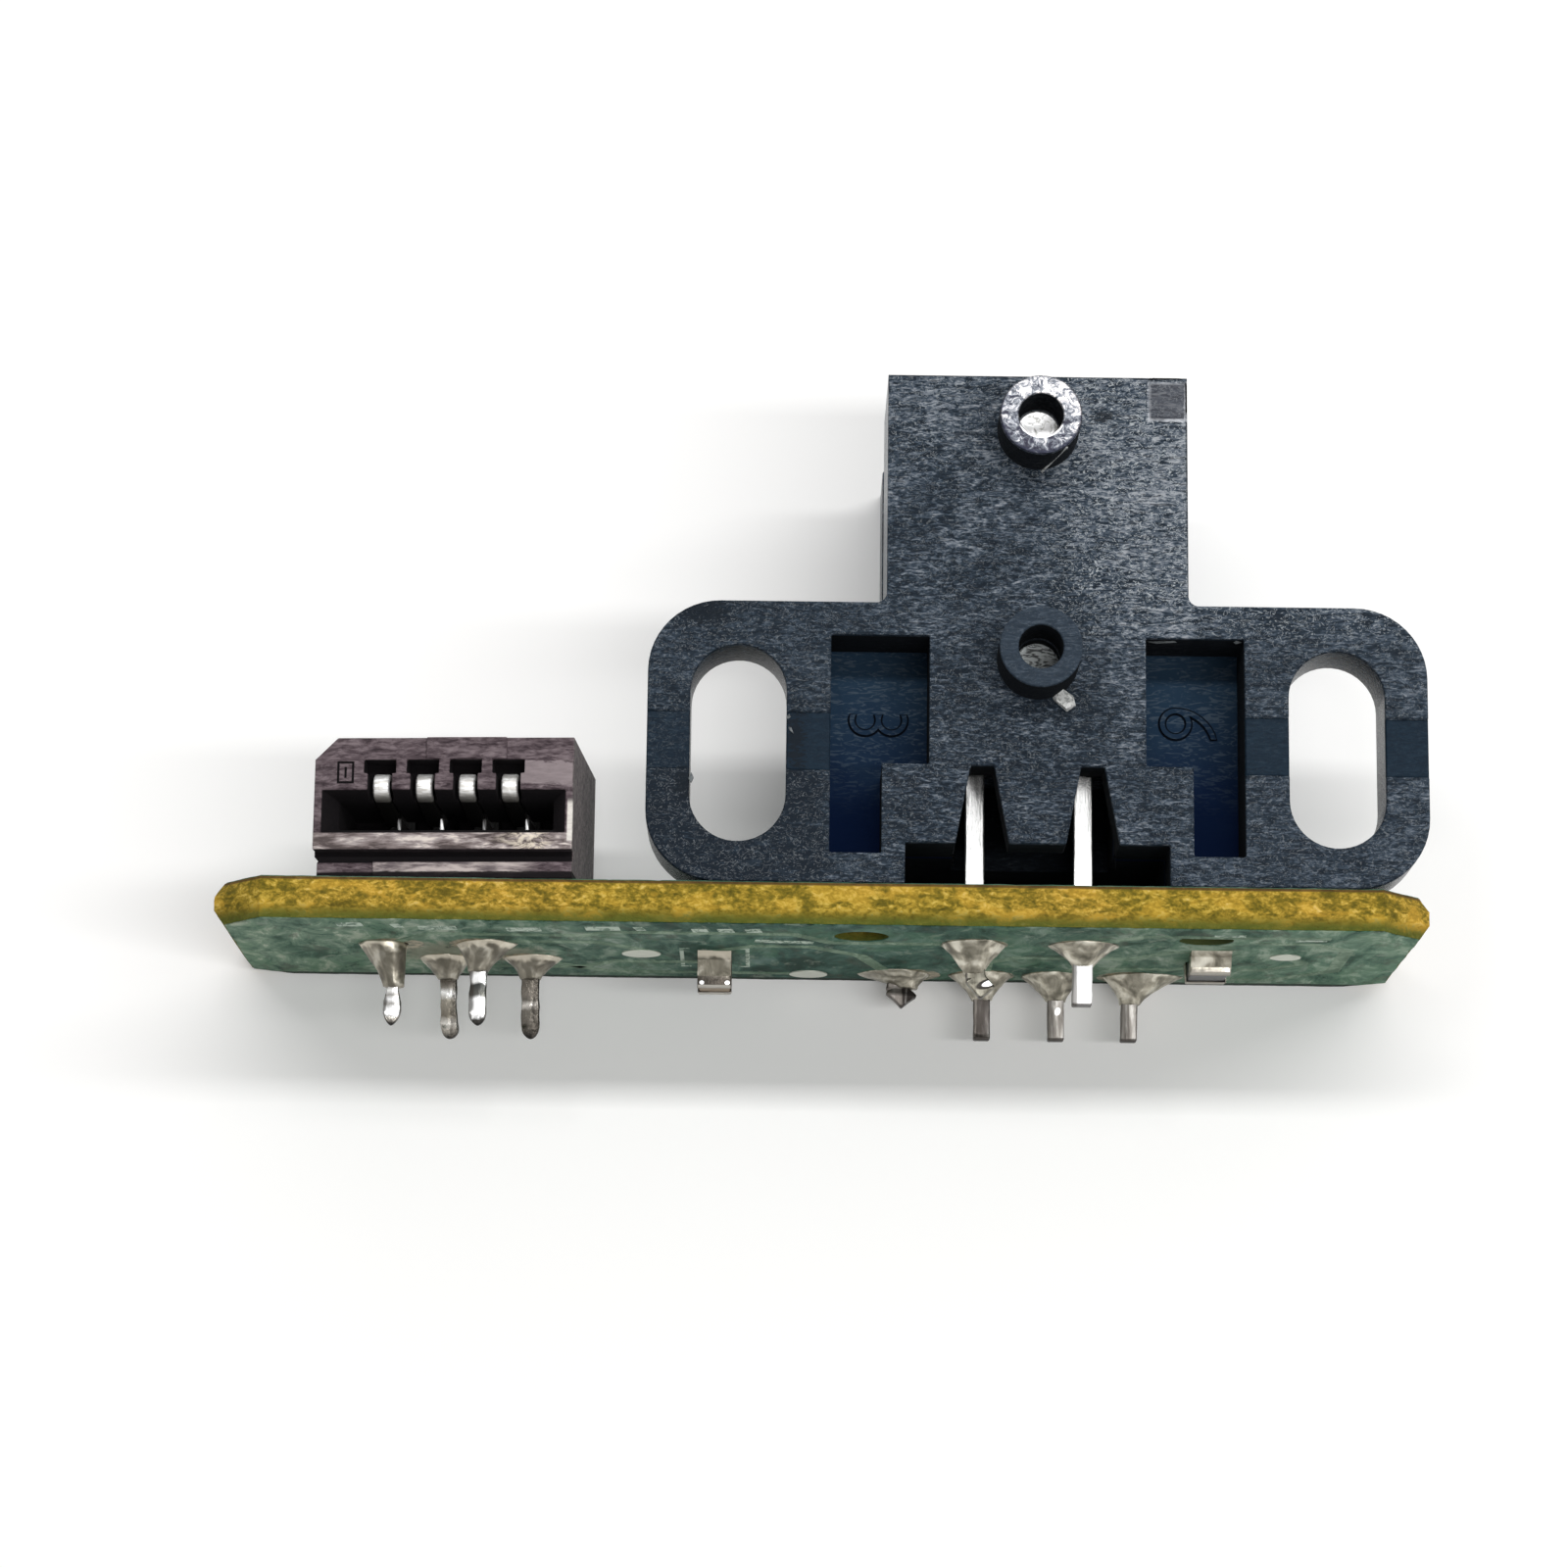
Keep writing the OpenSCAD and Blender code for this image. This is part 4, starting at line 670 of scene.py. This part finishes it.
scraps = bmesh.new()
for thick, outline in (
    (0.16, [(0.12, 1.80, 0.0), (0.30, 1.92, 0.30), (0.62, 1.66, 0.42), (1.02, 1.42, 0.22), (1.10, 1.18, 0.10),
            (0.84, 1.02, 0.0), (0.52, 1.30, 0.0)]),
    (0.05, [(0.08, 8.27, 0.0), (0.13, 8.23, 0.0), (0.76, 8.52, 1.58), (0.80, 8.56, 1.6), (0.72, 8.55, 1.6)]),
    (0.03, [(3.20, 3.24, -0.34), (3.5, 3.17, -0.30), (4.1, 3.22, -0.34), (4.0, 3.26, -0.30)]),
    (0.03, [(5.72, 3.22, -0.24), (5.80, 3.18, -0.28), (5.98, 3.22, -0.22), (5.8, 3.26, -0.18)]),
    (0.03, [(-7.31, 0.80, -0.10), (-7.27, 0.70, -0.07), (-7.17, 0.76, -0.01), (-7.22, 0.86, -0.01)]),
    (0.04, [(-7.28, 0.50, -0.12), (-7.2, 0.36, -0.02), (-7.08, 0.26, -0.01), (-7.16, 0.46, -0.01)]),
    (0.06, [(-10.12, -1.10, -0.02), (-10.04, -1.24, -0.05), (-9.96, -1.06, -0.12), (-10.04, -0.9, -0.05)]),
    (0.05, [(-9.86, 4.02, -0.06), (-9.66, 4.06, -0.01), (-9.50, 4.18, -0.06), (-9.74, 4.14, -0.12)]),
):
    sliver(scraps, outline, thick)
torn = Paint("torn_resin", Roughness=0.6)
shreds = torn.speckle((9, 9, 9), detail=3, roughness=0.7)
flash_tone = torn.blend(torn.step(shreds, 0.40, 0.56), (0.38, 0.39, 0.38), (0.86, 0.87, 0.85))
burr = torn.step(abs(torn.place()[0] - 0.6), 1.2, 1.6)
torn.feed(Base_Color=torn.blend(burr * 0.88, flash_tone, (0.06, 0.075, 0.085)), Normal=torn.relief(shreds, 0.03))
piece("torn_flash", scraps, paint=torn)

# Light emitter and detector: each is a small resin package on stamped leads. Only the leads show: bright with
# tin in the notches above the board, and cut off or bent below it, where flux and solder have dulled some, and where
# the tin is painted in light and dark blotches that stand for reflections.
def bent(mesh, below, shift, bend, widths, lumps):
    """Below a level the mesh leans over by shift, takes the given widths in turn, and is made lumpy."""
    slices = 18
    made = bmesh.new()
    made.from_mesh(mesh)
    foot = min(v.co.y for v in made.verts)
    tail = [v for v in made.verts if v.co.y < below]
    middle = sum((v.co for v in tail), Vector()) / len(tail)
    for cut in range(1, slices):
        bmesh.ops.bisect_plane(made, geom=[*made.verts, *made.edges, *made.faces], plane_no=(0, 1, 0),
                               plane_co=(0, below + (foot - below) * cut / slices, 0))
    for v in made.verts:
        down = (below - v.co.y) / (below - foot)
        if down > 0:
            along = min(down, 0.999) * (len(widths) - 1)
            width = widths[int(along)] + (widths[int(along) + 1] - widths[int(along)]) * (along % 1)
            swell = 1 + lumps * noise.noise(v.co / (0.35 * mm)) * min(1.0, down * 5)
            v.co.x = middle.x + (v.co.x - middle.x) * width * swell + shift * down ** bend
            v.co.z = middle.z + (v.co.z - middle.z) * swell
    made.to_mesh(mesh)
    made.free()
    return mesh


def lead_paint(name, stops, shift, low, glint):
    """Tin that is clean above the board, and streaked lengthways below it with painted light and dark that stand for
    reflections, with a dark cut end and dark edges. A glint is a painted highlight with a dark rim, given as its
    middle, half the sizes and the rim's darkness."""
    tin = Paint(name)
    x, y, _ = tin.place()
    blots = tin.speckle((5.0, 0.8, 5.0), detail=3, roughness=0.55, shift=shift, distortion=0.4)
    drawn = tin.speckle((12, 1.5, 12), detail=3, roughness=0.6)
    clean = tin.step(y, -4.2, -3.9)
    mottled = tin.node("ShaderNodeValToRGB", {"stops": stops}, {0: blots * 0.75 + drawn * 0.25})
    cut_end = tin.step(low.y + 0.10 - y, 0.0, 0.04)
    left_side = tin.step(low.x + 0.13 - x + (blots - 0.5) * 0.2, 0.0, 0.06)
    streaked = tin.blend(left_side * 0.7, mottled, (0.16, 0.145, 0.13))
    streaked = tin.blend(cut_end * 0.9, streaked, (0.045, 0.04, 0.036))
    if glint:
        at_x, at_y, wide, tall, rim = glint
        off = (((x - at_x) / wide) ** 2 + ((y - at_y - (x - at_x) * 0.3) / tall) ** 2) ** 0.5
        streaked = tin.blend(tin.step(1.8 - off, 0.0, 0.4) * rim, streaked, (0.02, 0.018, 0.016))
        streaked = tin.blend(tin.step(1.0 - off, 0.0, 0.25), streaked, (1.0, 1.0, 1.0))
    tin.feed(Base_Color=tin.blend(clean, streaked, (0.99, 0.99, 0.98)), Metallic=1 - 0.12 * drawn,
             Roughness=0.12 + drawn * 0.16 + (1 - clean) * 0.22, Normal=tin.relief(drawn, 0.008))
    return tin


bright_stops = [(0, (0.40, 0.39, 0.37)), (0.3, (0.85, 0.84, 0.82)), (0.4, (0.98, 0.98, 0.98)), (1, (1, 1, 1))]
pale_stops = [(0, (0.05, 0.043, 0.037)), (0.40, (0.11, 0.10, 0.09)), (0.47, (0.19, 0.177, 0.16)),
              (0.54, (0.31, 0.295, 0.275)), (0.62, (0.46, 0.445, 0.42)), (0.76, (0.9, 0.9, 0.9)), (1, (1, 1, 1))]
grey_stops = [(0, (0.07, 0.065, 0.05)), (0.42, (0.14, 0.132, 0.105)), (0.58, (0.24, 0.228, 0.188)),
              (1, (0.4, 0.385, 0.33))]
dull_stops = [(0, (0.025, 0.021, 0.018)), (0.42, (0.055, 0.048, 0.043)), (0.50, (0.08, 0.071, 0.065)),
              (0.58, (0.12, 0.108, 0.10)), (0.68, (0.26, 0.25, 0.235)), (1, (0.7, 0.7, 0.68))]
dark_stops = [(0, (0.008, 0.007, 0.006)), (0.46, (0.022, 0.019, 0.017)), (0.54, (0.055, 0.05, 0.046)),
              (0.62, (0.22, 0.21, 0.20)), (1, (0.8, 0.8, 0.78))]
even, cropped = (1.0, 1.0), (1.35, 1.25, 0.9)
for lead, stops, shift, lean, bend, widths, glint in (
        ("emitter_lead_1", grey_stops, 3.0, 0.10, 1.4, even, (-1.24, -6.52, 0.26, 0.095, 0.95)),
        ("emitter_lead_2", bright_stops, 0.0, -0.04, 1.4, even, None),
        ("detector_lead_1", dark_stops, 1.0, -0.42, 0.3, cropped, None),
        ("detector_lead_2", dull_stops, 5.0, 0.0, 1.4, even, None),
        ("detector_lead_3", pale_stops, 8.0, 0.0, 1.4, even, (1.08, -6.47, 0.10, 0.13, 0.0)),
        ("detector_lead_4", pale_stops, 2.0, -0.05, 1.4, even, None)):
    shaped = bent(eased(lead, 0.05 * mm), foot_y, lean * mm, bend, widths, 0.06)
    paint = lead_paint("tin_" + lead, stops, shift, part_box(lead)[0] / mm, glint)
    piece("tinned_" + lead, shaped, paint=paint, replaces=[lead])
clear_resin = grained("tinted_resin", (1.5, 1.5, 1.5), 2, (0.035, 0.02, 0.06), (0.06, 0.045, 0.10),
                      Roughness=0.12, IOR=1.55)
dark_resin = grained("package_resin", (12, 12, 12), 3, (0.010, 0.011, 0.012), (0.03, 0.03, 0.032), (0.4, 0.3), IOR=1.5)
silicon = grained("polished_silicon", (2, 9, 2), 1, (0.12, 0.12, 0.17), (0.24, 0.22, 0.26), (0.15, 0.15), Metallic=0.5)
for name, side, paint in (("lensed_package", "emitter", clear_resin), ("flat_package", "detector", dark_resin)):
    piece(name, eased(side + "_package", 0.08 * mm), paint=paint, replaces=[side + "_package"])
    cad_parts[side + "_die"].data.materials[0] = silicon.material

# Flat-cable connector: an aubergine-brown housing, rubbed pale along the lip that the cable slides over, and
# painted near black inside, as painted shade. It stands a little askew on the board.
house_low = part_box("connector_housing")[0]
house_front, house_skew, half_width = -0.05, math.radians(4), 3.775
house_x = house_low.x / mm + half_width * math.cos(house_skew)
sill_y, lip_y, foot_line = (house_low.y / mm + up for up in (1.31, 0.82, 0.50))
digit_across, digit_up = -2.875, 1.79


def in_housing(x, z):
    """How far a point lies to the right of the housing's middle, and behind its front face, in millimetres."""
    turned, straight = math.sin(house_skew), math.cos(house_skew)
    return ((x - house_x) * straight + (z - house_front) * turned,
            (x - house_x) * turned - (z - house_front) * straight)


brown = Paint("aubergine_resin", IOR=1.52, Specular_IOR_Level=0.14)
x, y, z = brown.place()
across, into = in_housing(x, z)
flow = brown.speckle((2.0, 7.5, 7.5), detail=4, roughness=0.65, distortion=0.6)
rub = brown.speckle((1.7, 4.2, 4.2), detail=4, roughness=0.7, shift=3.0, distortion=1.2)
plain = brown.node("ShaderNodeValToRGB", {"stops": [
    (0, (0.006, 0.004, 0.005)), (0.38, (0.026, 0.016, 0.020)), (0.46, (0.070, 0.050, 0.057)),
    (0.52, (0.115, 0.087, 0.096)), (0.60, (0.180, 0.142, 0.153)), (1, (0.38, 0.32, 0.33))]},
    {0: flow * 0.65 + rub * 0.35})
in_front = brown.step(0.12 - into, 0.0, 0.04)
on_lip = brown.step(sill_y + 0.02 - y, 0.0, 0.03) * brown.step(y - lip_y, 0.0, 0.03) \
    * brown.step(0.05 - into, 0.0, 0.02)
wiped = brown.speckle((0.9, 4.5, 4.5), detail=4, roughness=0.66, shift=3.0, distortion=0.3)
lip_tone = brown.node("ShaderNodeValToRGB", {"stops": [
    (0, (0.03, 0.024, 0.024)), (0.38, (0.085, 0.066, 0.064)), (0.45, (0.20, 0.163, 0.158)),
    (0.51, (0.27, 0.228, 0.222)), (0.57, (0.40, 0.35, 0.34)), (0.64, (0.70, 0.62, 0.57)), (1, (0.98, 0.90, 0.80))]},
    {0: (wiped - 0.5) * (1.0 + brown.step(across, -1.5, 2.0) * 0.6) + 0.515 + across * 0.010})
warm = brown.step(across, 1.3, 2.4) * brown.step(3.4 - across, 0.0, 0.6) * brown.step(rub, 0.47, 0.60)
lip_tone = brown.blend(warm * 0.8, lip_tone, (0.86, 0.76, 0.62))
foot_span = brown.step(foot_line - y, 0.0, 0.06) * brown.step(y - foot_line + 0.38 + (rub - 0.5) * 0.3, 0.0, 0.06)
on_foot = foot_span * brown.step(across + (rub - 0.5) * 0.4, -2.05, -2.0) * brown.step(2.9 - across, 0.0, 0.8)
side_glint = brown.step(across, 3.60, 3.64) * in_front * brown.step(y - lip_y - 0.2, 0.0, 0.1) \
    * brown.step(sill_y + 1.05 - y, 0.0, 0.25)
patch = brown.step(across + (rub - 0.5) * 0.5, 2.05, 2.2) * in_front \
    * brown.step(0.40 - abs(y - sill_y - 1.78) + (flow - 0.5) * 0.6, 0.0, 0.12)
scraped = brown.blend(wiped, (0.13, 0.105, 0.11), (0.44, 0.37, 0.38))
housing_colour = brown.blend(patch * 0.85, plain, scraped)
side_tone = brown.blend(brown.step(rub * 0.7 + flow * 0.3, 0.38, 0.62), (0.060, 0.049, 0.052), (0.215, 0.188, 0.182))
housing_colour = brown.blend(brown.step(across, 3.74, 3.76) * 0.85, housing_colour, side_tone)
foot_tone = brown.blend(brown.step(wiped, 0.36, 0.66), (0.11, 0.088, 0.094), (0.52, 0.45, 0.43))
housing_colour = brown.blend(on_foot, housing_colour, foot_tone)
housing_colour = brown.blend(on_lip, housing_colour, lip_tone)
housing_colour = brown.blend(side_glint * (0.45 + rub * 0.9), housing_colour, (0.82, 0.78, 0.72))
# Painted shade: the mouth and the windows up to their ceilings, the undercut below the lip and a line along the foot
# are painted near black, and the engraved box and digit with them.
ceiling = brown.step(into, 0.13, 0.16) * brown.step(sill_y + 2.21 - y, 0.0, 0.02)
hollow = brown.step(into, 0.025, 0.06) * brown.step(3.70 - abs(across), 0.0, 0.02) \
    * brown.step(y - sill_y + 0.02, 0.0, 0.02) * brown.step(sill_y + 2.16 - y, 0.0, 0.02).most(ceiling)
engraved = brown.step(into, 0.012, 0.026) * brown.step(0.28 - abs(across - digit_across), 0.0, 0.02) \
    * brown.step(0.34 - abs(y - sill_y - digit_up), 0.0, 0.02)
groove = brown.step(y - foot_line + 0.05, 0.0, 0.04) * brown.step(lip_y + 0.02 - y, 0.0, 0.03) \
    * brown.step(into, -0.05, 0.0) * brown.step(3.76 - across, 0.0, 0.02)
in_shade = brown.step(foot_line - 0.28 - y + (rub - 0.5) * 0.1, 0.0, 0.05) * 0.97
shade_black = hollow.most(engraved).most(groove).most(in_shade)
housing_colour = brown.blend(shade_black * 0.98, housing_colour, (0.0015, 0.0010, 0.0016))
brown.feed(Base_Color=housing_colour, Roughness=0.45 + flow * 0.25 + shade_black * 0.3,
           Normal=brown.relief(flow * 0.6 + rub * 0.4, 0.03))


def keen_by_digit(at):
    """No rounding by the boxed digit, whose cut edges are too close together for it."""
    apart = max(abs(in_housing(at.x, at.z)[0] - digit_across), abs(at.y - sill_y - digit_up))
    return 0.0 if apart < 0.4 else 1.0


piece("cable_housing", eased("connector_housing", 0.035 * mm, ease=keen_by_digit),
      paint=brown, replaces=["connector_housing"])

# Four tinned springs hang in its windows. Inside the housing they are painted in shade, all but their hooks, with a
# painted glint on the lower arms in the mouth. Their tails leave it in two rows; solder has crept down them, and they
# are painted in bright and dark blobs that stand for highlights and reflections.
tail_tones = {
    1: [(0, (0.30, 0.285, 0.26)), (0.10, (0.85, 0.85, 0.83)), (0.22, (0.30, 0.29, 0.27)), (0.34, (0.9, 0.9, 0.9)),
        (0.46, (0.34, 0.33, 0.31)), (0.56, (1, 1, 1)), (0.70, (0.9, 0.9, 0.9)), (0.80, (0.30, 0.28, 0.25)),
        (0.92, (0.03, 0.028, 0.025)), (1, (0.02, 0.02, 0.02))],
    2: [(0, (0.07, 0.062, 0.05)), (0.10, (0.20, 0.185, 0.16)), (0.22, (0.85, 0.85, 0.83)), (0.34, (0.26, 0.24, 0.20)),
        (0.60, (0.14, 0.125, 0.10)), (0.74, (0.55, 0.53, 0.49)), (0.86, (0.25, 0.23, 0.20)), (1, (0.02, 0.02, 0.018))],
    3: [(0, (0.55, 0.54, 0.51)), (0.08, (1, 1, 1)), (0.20, (0.90, 0.90, 0.88)), (0.26, (0.045, 0.048, 0.045)),
        (0.46, (0.11, 0.11, 0.10)), (0.53, (1, 1, 1)), (0.78, (0.95, 0.95, 0.94)), (0.90, (0.03, 0.028, 0.025)),
        (1, (0.02, 0.02, 0.018))],
    4: [(0, (0.10, 0.09, 0.075)), (0.20, (0.17, 0.152, 0.13)), (0.34, (0.12, 0.11, 0.095)), (0.44, (0.55, 0.52, 0.48)),
        (0.54, (0.14, 0.128, 0.11)), (0.80, (0.10, 0.09, 0.076)), (0.92, (0.02, 0.018, 0.016)),
        (1, (0.012, 0.011, 0.01))]}
# Where each tail leaves its solder, how far it leans, and its widths from there to its tip.
tail_shapes = {1: (-6.65, -0.05, (1, 0.95, 0.66, 0.62, 0.98, 0.94, 0.5)),
               2: (-6.05, 0.10, (1, 1, 0.95, 0.92, 0.96, 1.0, 0.85)),
               3: (-6.2, 0.03, (1, 1, 0.96, 0.92, 0.96, 1.0, 0.62)),
               4: (-6.0, 0.04, (1, 1, 1, 0.98, 1.0, 0.98, 0.74))}
contact_pitch = 1.25
for k, (tail_top, lean, widths) in tail_shapes.items():
    spring = Paint(f"spring_tin_{k}")
    x, y, z = spring.place()
    across, into = in_housing(x, z)
    beside = across - (k - 2.5) * contact_pitch
    middle = spot(f"connector_contact_{k}").x
    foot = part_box(f"connector_contact_{k}")[0].y / mm
    blobs = spring.speckle((2.2, 1.6, 2.2), detail=3, roughness=0.5, shift=3.1 * k, distortion=0.6)
    fine = spring.speckle((9, 5, 9), detail=3, roughness=0.6)
    tail = spring.node("ShaderNodeValToRGB", {"stops": tail_tones[k]},
                       {0: (tail_top - y) / (tail_top - foot) + (blobs - 0.5) * 0.18})
    edge_dark = spring.step(abs(x - middle - lean * 0.7) + (blobs - 0.5) * 0.25, 0.15, 0.22)
    tail = spring.blend(edge_dark * 0.8, tail, (0.045, 0.040, 0.034))
    scored = spring.speckle((1.5, 14, 14), detail=3, roughness=0.6, shift=2.0)
    worn_hook = spring.blend(spring.step(scored, 0.42, 0.6), (0.62, 0.60, 0.57), (1.0, 1.0, 0.99))
    hook = spring.blend(spring.step(y, -1.75, -1.35), (0.30, 0.285, 0.26), worn_hook)
    in_window = spring.step(y, -1.79, -1.75) * spring.step(0.80 - into, 0.0, 0.1)
    from_stroke = abs(beside + (y + 2.3) * 0.22 - 0.44 + k * 0.01)
    wide, bright = (0.055, 0.3) if k % 2 else (0.085, 1.0)
    glint = spring.step(wide - from_stroke, 0.0, 0.03) * spring.step(-2.08 - y, 0.0, 0.05) \
        * spring.step(into, 0.6, 0.8) * spring.step(1.9 - into, 0.0, 0.4) * bright
    shadowed = spring.blend(in_window, (0.006, 0.0055, 0.005), hook)
    shadowed = spring.blend(glint, shadowed, (1.0, 1.0, 1.0))
    below = spring.step(foot_y / mm + 1.5 - y, 0.0, 0.1)
    spring.feed(Base_Color=spring.blend(below, shadowed, tail), Metallic=0.30 + below * 0.65 + in_window * 0.25,
                Roughness=0.16 + fine * 0.22 + (1 - below) * 0.2, Normal=spring.relief(fine, 0.02))
    shaped = bent(eased(f"connector_contact_{k}", 0.06 * mm), foot_y - 0.3 * mm, lean * mm, 1.4, widths, 0.16)
    piece(f"spring_{k}", shaped, paint=spring, replaces=[f"connector_contact_{k}"])


# Solder joints: cones that the solder drew down each lead from its pad, warm grey, lumpy and unevenly shiny.
# Each leans its own way, and some reach further over their pad on one side.
def islands(node):
    """The boxes of a CAD node's separate solids, from left to right."""
    made = solid_of(node)
    left, boxes = set(made.verts), []
    while left:
        grown, fresh = set(), {next(iter(left))}
        while fresh:
            grown |= fresh
            fresh = {e.other_vert(v) for v in fresh for e in v.link_edges} - grown
        left -= grown
        boxes.append([Vector([pick(v.co[a] for v in grown) for a in range(3)]) for pick in (min, max)])
    made.free()
    return sorted(boxes, key=lambda b: b[0].x)


def drawn_cone(made, low, high, rim_shift, rim_x, rim_z, drop, tip=0.31, bow=1.35, lumps=0.09, seed=0.0):
    """A hollow-sided, lumpy cone in a CAD solid's place. Its rim is moved and stretched, in millimetres and shares."""
    at, rows, around = (low + high) / 2, 16, 48
    foot_r, height = (high.x - low.x) / 2, (high.y - low.y) * drop
    rings = []
    for row in range(rows + 1):
        t = row / rows
        ring = []
        for k in range(around):
            turn = 2 * math.pi * k / around
            way = Vector((math.cos(turn), 0, math.sin(turn)))
            lump = noise.noise(way * 1.3 + Vector((seed, t * 1.6, seed * 2)))
            fine = noise.noise(way * 3.1 + Vector((seed, t * 4.0, 7 + seed)))
            r = tip * mm + (foot_r - tip * mm) * (1 - t) ** bow
            r *= 1 + lumps * (lump * (1.6 - t) + 0.5 * fine)
            stretch = (1 - t) ** 0.8
            ring.append(made.verts.new((
                at.x + rim_shift * mm * (1 - t) ** 1.2 + way.x * r * (1 + (rim_x - 1) * stretch),
                high.y - height * t - fine * 0.02 * mm * (t > 0),
                at.z + way.z * r * (1 + (rim_z - 1) * stretch))))
        rings.append(ring)
    for upper, lower in zip(rings, rings[1:]):
        for k in range(around):
            n = (k + 1) % around
            made.faces.new((upper[k], upper[n], lower[n], lower[k])).smooth = True
    end = made.verts.new((at.x, high.y - height - 0.05 * mm, at.z))
    for k in range(around):
        made.faces.new((rings[-1][k], rings[-1][(k + 1) % around], end)).smooth = True
    made.faces.new(rings[0])


solder = Paint("solder", Metallic=0.85)
drawn_down = solder.speckle((3.6, 1.3, 3.6), detail=3, roughness=0.6, distortion=0.8)
frost = solder.speckle((10, 10, 10), detail=3, roughness=0.65, shift=5.0)
pools = solder.speckle((1.9, 1.9, 1.9), detail=2, roughness=0.45, shift=15.0, distortion=0.8)
tone = drawn_down * 0.25 + frost * 0.08 + pools * 0.67
facing = solder.node("ShaderNodeSeparateXYZ", None, {0: solder.node("ShaderNodeTexCoord", out="Normal")}, out="X")
grey = solder.node("ShaderNodeValToRGB", {"stops": [
    (0, (0.03, 0.028, 0.020)), (0.37, (0.135, 0.125, 0.098)), (0.45, (0.265, 0.245, 0.195)),
    (0.53, (0.43, 0.400, 0.325)), (0.60, (0.66, 0.625, 0.53)), (1, (0.95, 0.93, 0.84))]}, {0: tone})
# Painted reflection: where a cone faces forward its solder is painted dark, and where it turns to either side it is
# left light.
turned = solder.step(0.42 - abs(facing + 0.08 + (pools - 0.5) * 0.7), 0.0, 0.3)
x, y, _ = solder.place()
from_left = solder.step(-6.0 - x, 0.0, 2.0)
rim = solder.step(y - foot_y / mm + 0.22 + (pools - 0.5) * 0.4, 0.0, 0.12) * from_left
shaded = solder.blend(turned * (0.30 + from_left * 0.4), grey, (0.075, 0.072, 0.052))
shaded = solder.blend(from_left * (1 - rim) * 0.45, shaded, (0.10, 0.088, 0.070))
solder.feed(Base_Color=solder.blend(rim * 0.6, shaded, (0.66, 0.60, 0.49)),
            Roughness=0.24 + frost * 0.3, Normal=solder.relief(drawn_down * 0.5 + pools * 0.5, 0.035))
# How far each joint's rim is moved, how wide and deep it is, and how far the solder runs down.
joint_shapes = {
    "emitter_solder": [(-0.03, 1.0, 1.0, 1.02), (0.02, 1.06, 1.0, 0.72)],
    "detector_solder": [(-0.42, 1.12, 1.0, 1.15), (0.0, 1.0, 1.0, 0.9), (-0.1, 1.0, 1.0, 0.9), (0.38, 1.18, 1.0, 1.0)],
    "connector_solder": [(-0.34, 0.86, 0.9, 1.12), (-0.1, 0.95, 1.0, 0.55), (0.26, 1.05, 1.0, 0.72),
                         (0.08, 1.05, 1.0, 0.55)],
}
for node, shapes in joint_shapes.items():
    joints = bmesh.new()
    for k, ((low, high), (shift, wide, deep, drop)) in enumerate(zip(islands(node), shapes)):
        drawn_cone(joints, low, high, shift, wide, deep, drop, seed=3.7 * k + len(node))
    piece("drawn_" + node, joints, paint=solder, replaces=[node])
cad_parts["chip_solder"].data.materials[0] = solder.material

# Two chips on the underside: a tall tan capacitor and a flatter dark resistor, each with tinned end caps.
tan = grained("tan_ceramic", (8, 8, 8), 3, (0.20, 0.14, 0.09), (0.34, 0.26, 0.17), (0.4, 0.2))
piece("capacitor_core", eased("capacitor_body", 0.04 * mm), paint=tan, replaces=["capacitor_body"])
glaze = grained("dark_glaze", (8, 8, 8), 3, (0.015, 0.015, 0.018), (0.045, 0.045, 0.05), (0.25, 0.2))
piece("resistor_core", eased("resistor_body", 0.04 * mm), paint=glaze, replaces=["resistor_body"])
for chip, dim in (("capacitor", 1.0), ("resistor", 0.0)):
    low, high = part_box(chip + "_terminals")
    low, high = low / mm, high / mm
    cap_tin = Paint(chip + "_cap_tin", Metallic=0.9)
    x, y, _ = cap_tin.place()
    mottle = cap_tin.speckle((5, 3, 5), detail=4, roughness=0.65)
    # The capacitor's caps are painted darker towards their lower edge as painted reflection, and painted highlights
    # sit at the lower corners, two on the capacitor and one on the resistor. Each cap has a band of its own tone along
    # its bottom.
    dark_reflection_fade = cap_tin.step(high.y - 0.25 * (high.y - low.y) - y + (mottle - 0.5) * 0.3, 0.0, 0.6 * (high.y - low.y))
    clean_tin = (0.60 - 0.06 * dim, 0.56 - 0.06 * dim, 0.47 - 0.05 * dim)
    end_tone = cap_tin.blend(dark_reflection_fade * dim, clean_tin, (0.060, 0.052, 0.043))
    end_tone = cap_tin.blend(cap_tin.step(mottle, 0.5, 0.66) * (0.2 + 0.2 * dim), end_tone, (0.16, 0.14, 0.12))
    under = cap_tin.step(low.y + 0.14 - 0.09 * dim - y, 0.0, 0.04)
    end_tone = cap_tin.blend(under * 0.85, end_tone, (0.33 + 0.22 * dim, 0.305 + 0.215 * dim, 0.265 + 0.20 * dim))
    for side in (low.x + 0.13, high.x - 0.11)[1 - round(dim):]:
        near = (((x - side) / 0.07) ** 2 + ((y - low.y - 0.1) / 0.06) ** 2) ** 0.5
        end_tone = cap_tin.blend(cap_tin.step(1.2 - near, 0.0, 0.4), end_tone, (1.0, 1.0, 1.0))
    cap_tin.feed(Base_Color=end_tone, Roughness=0.22 + mottle * 0.25, Normal=cap_tin.relief(mottle, 0.03))
    piece(chip + "_caps", eased(chip + "_terminals", 0.05 * mm), paint=cap_tin,
          replaces=[chip + "_terminals"])

low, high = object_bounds()
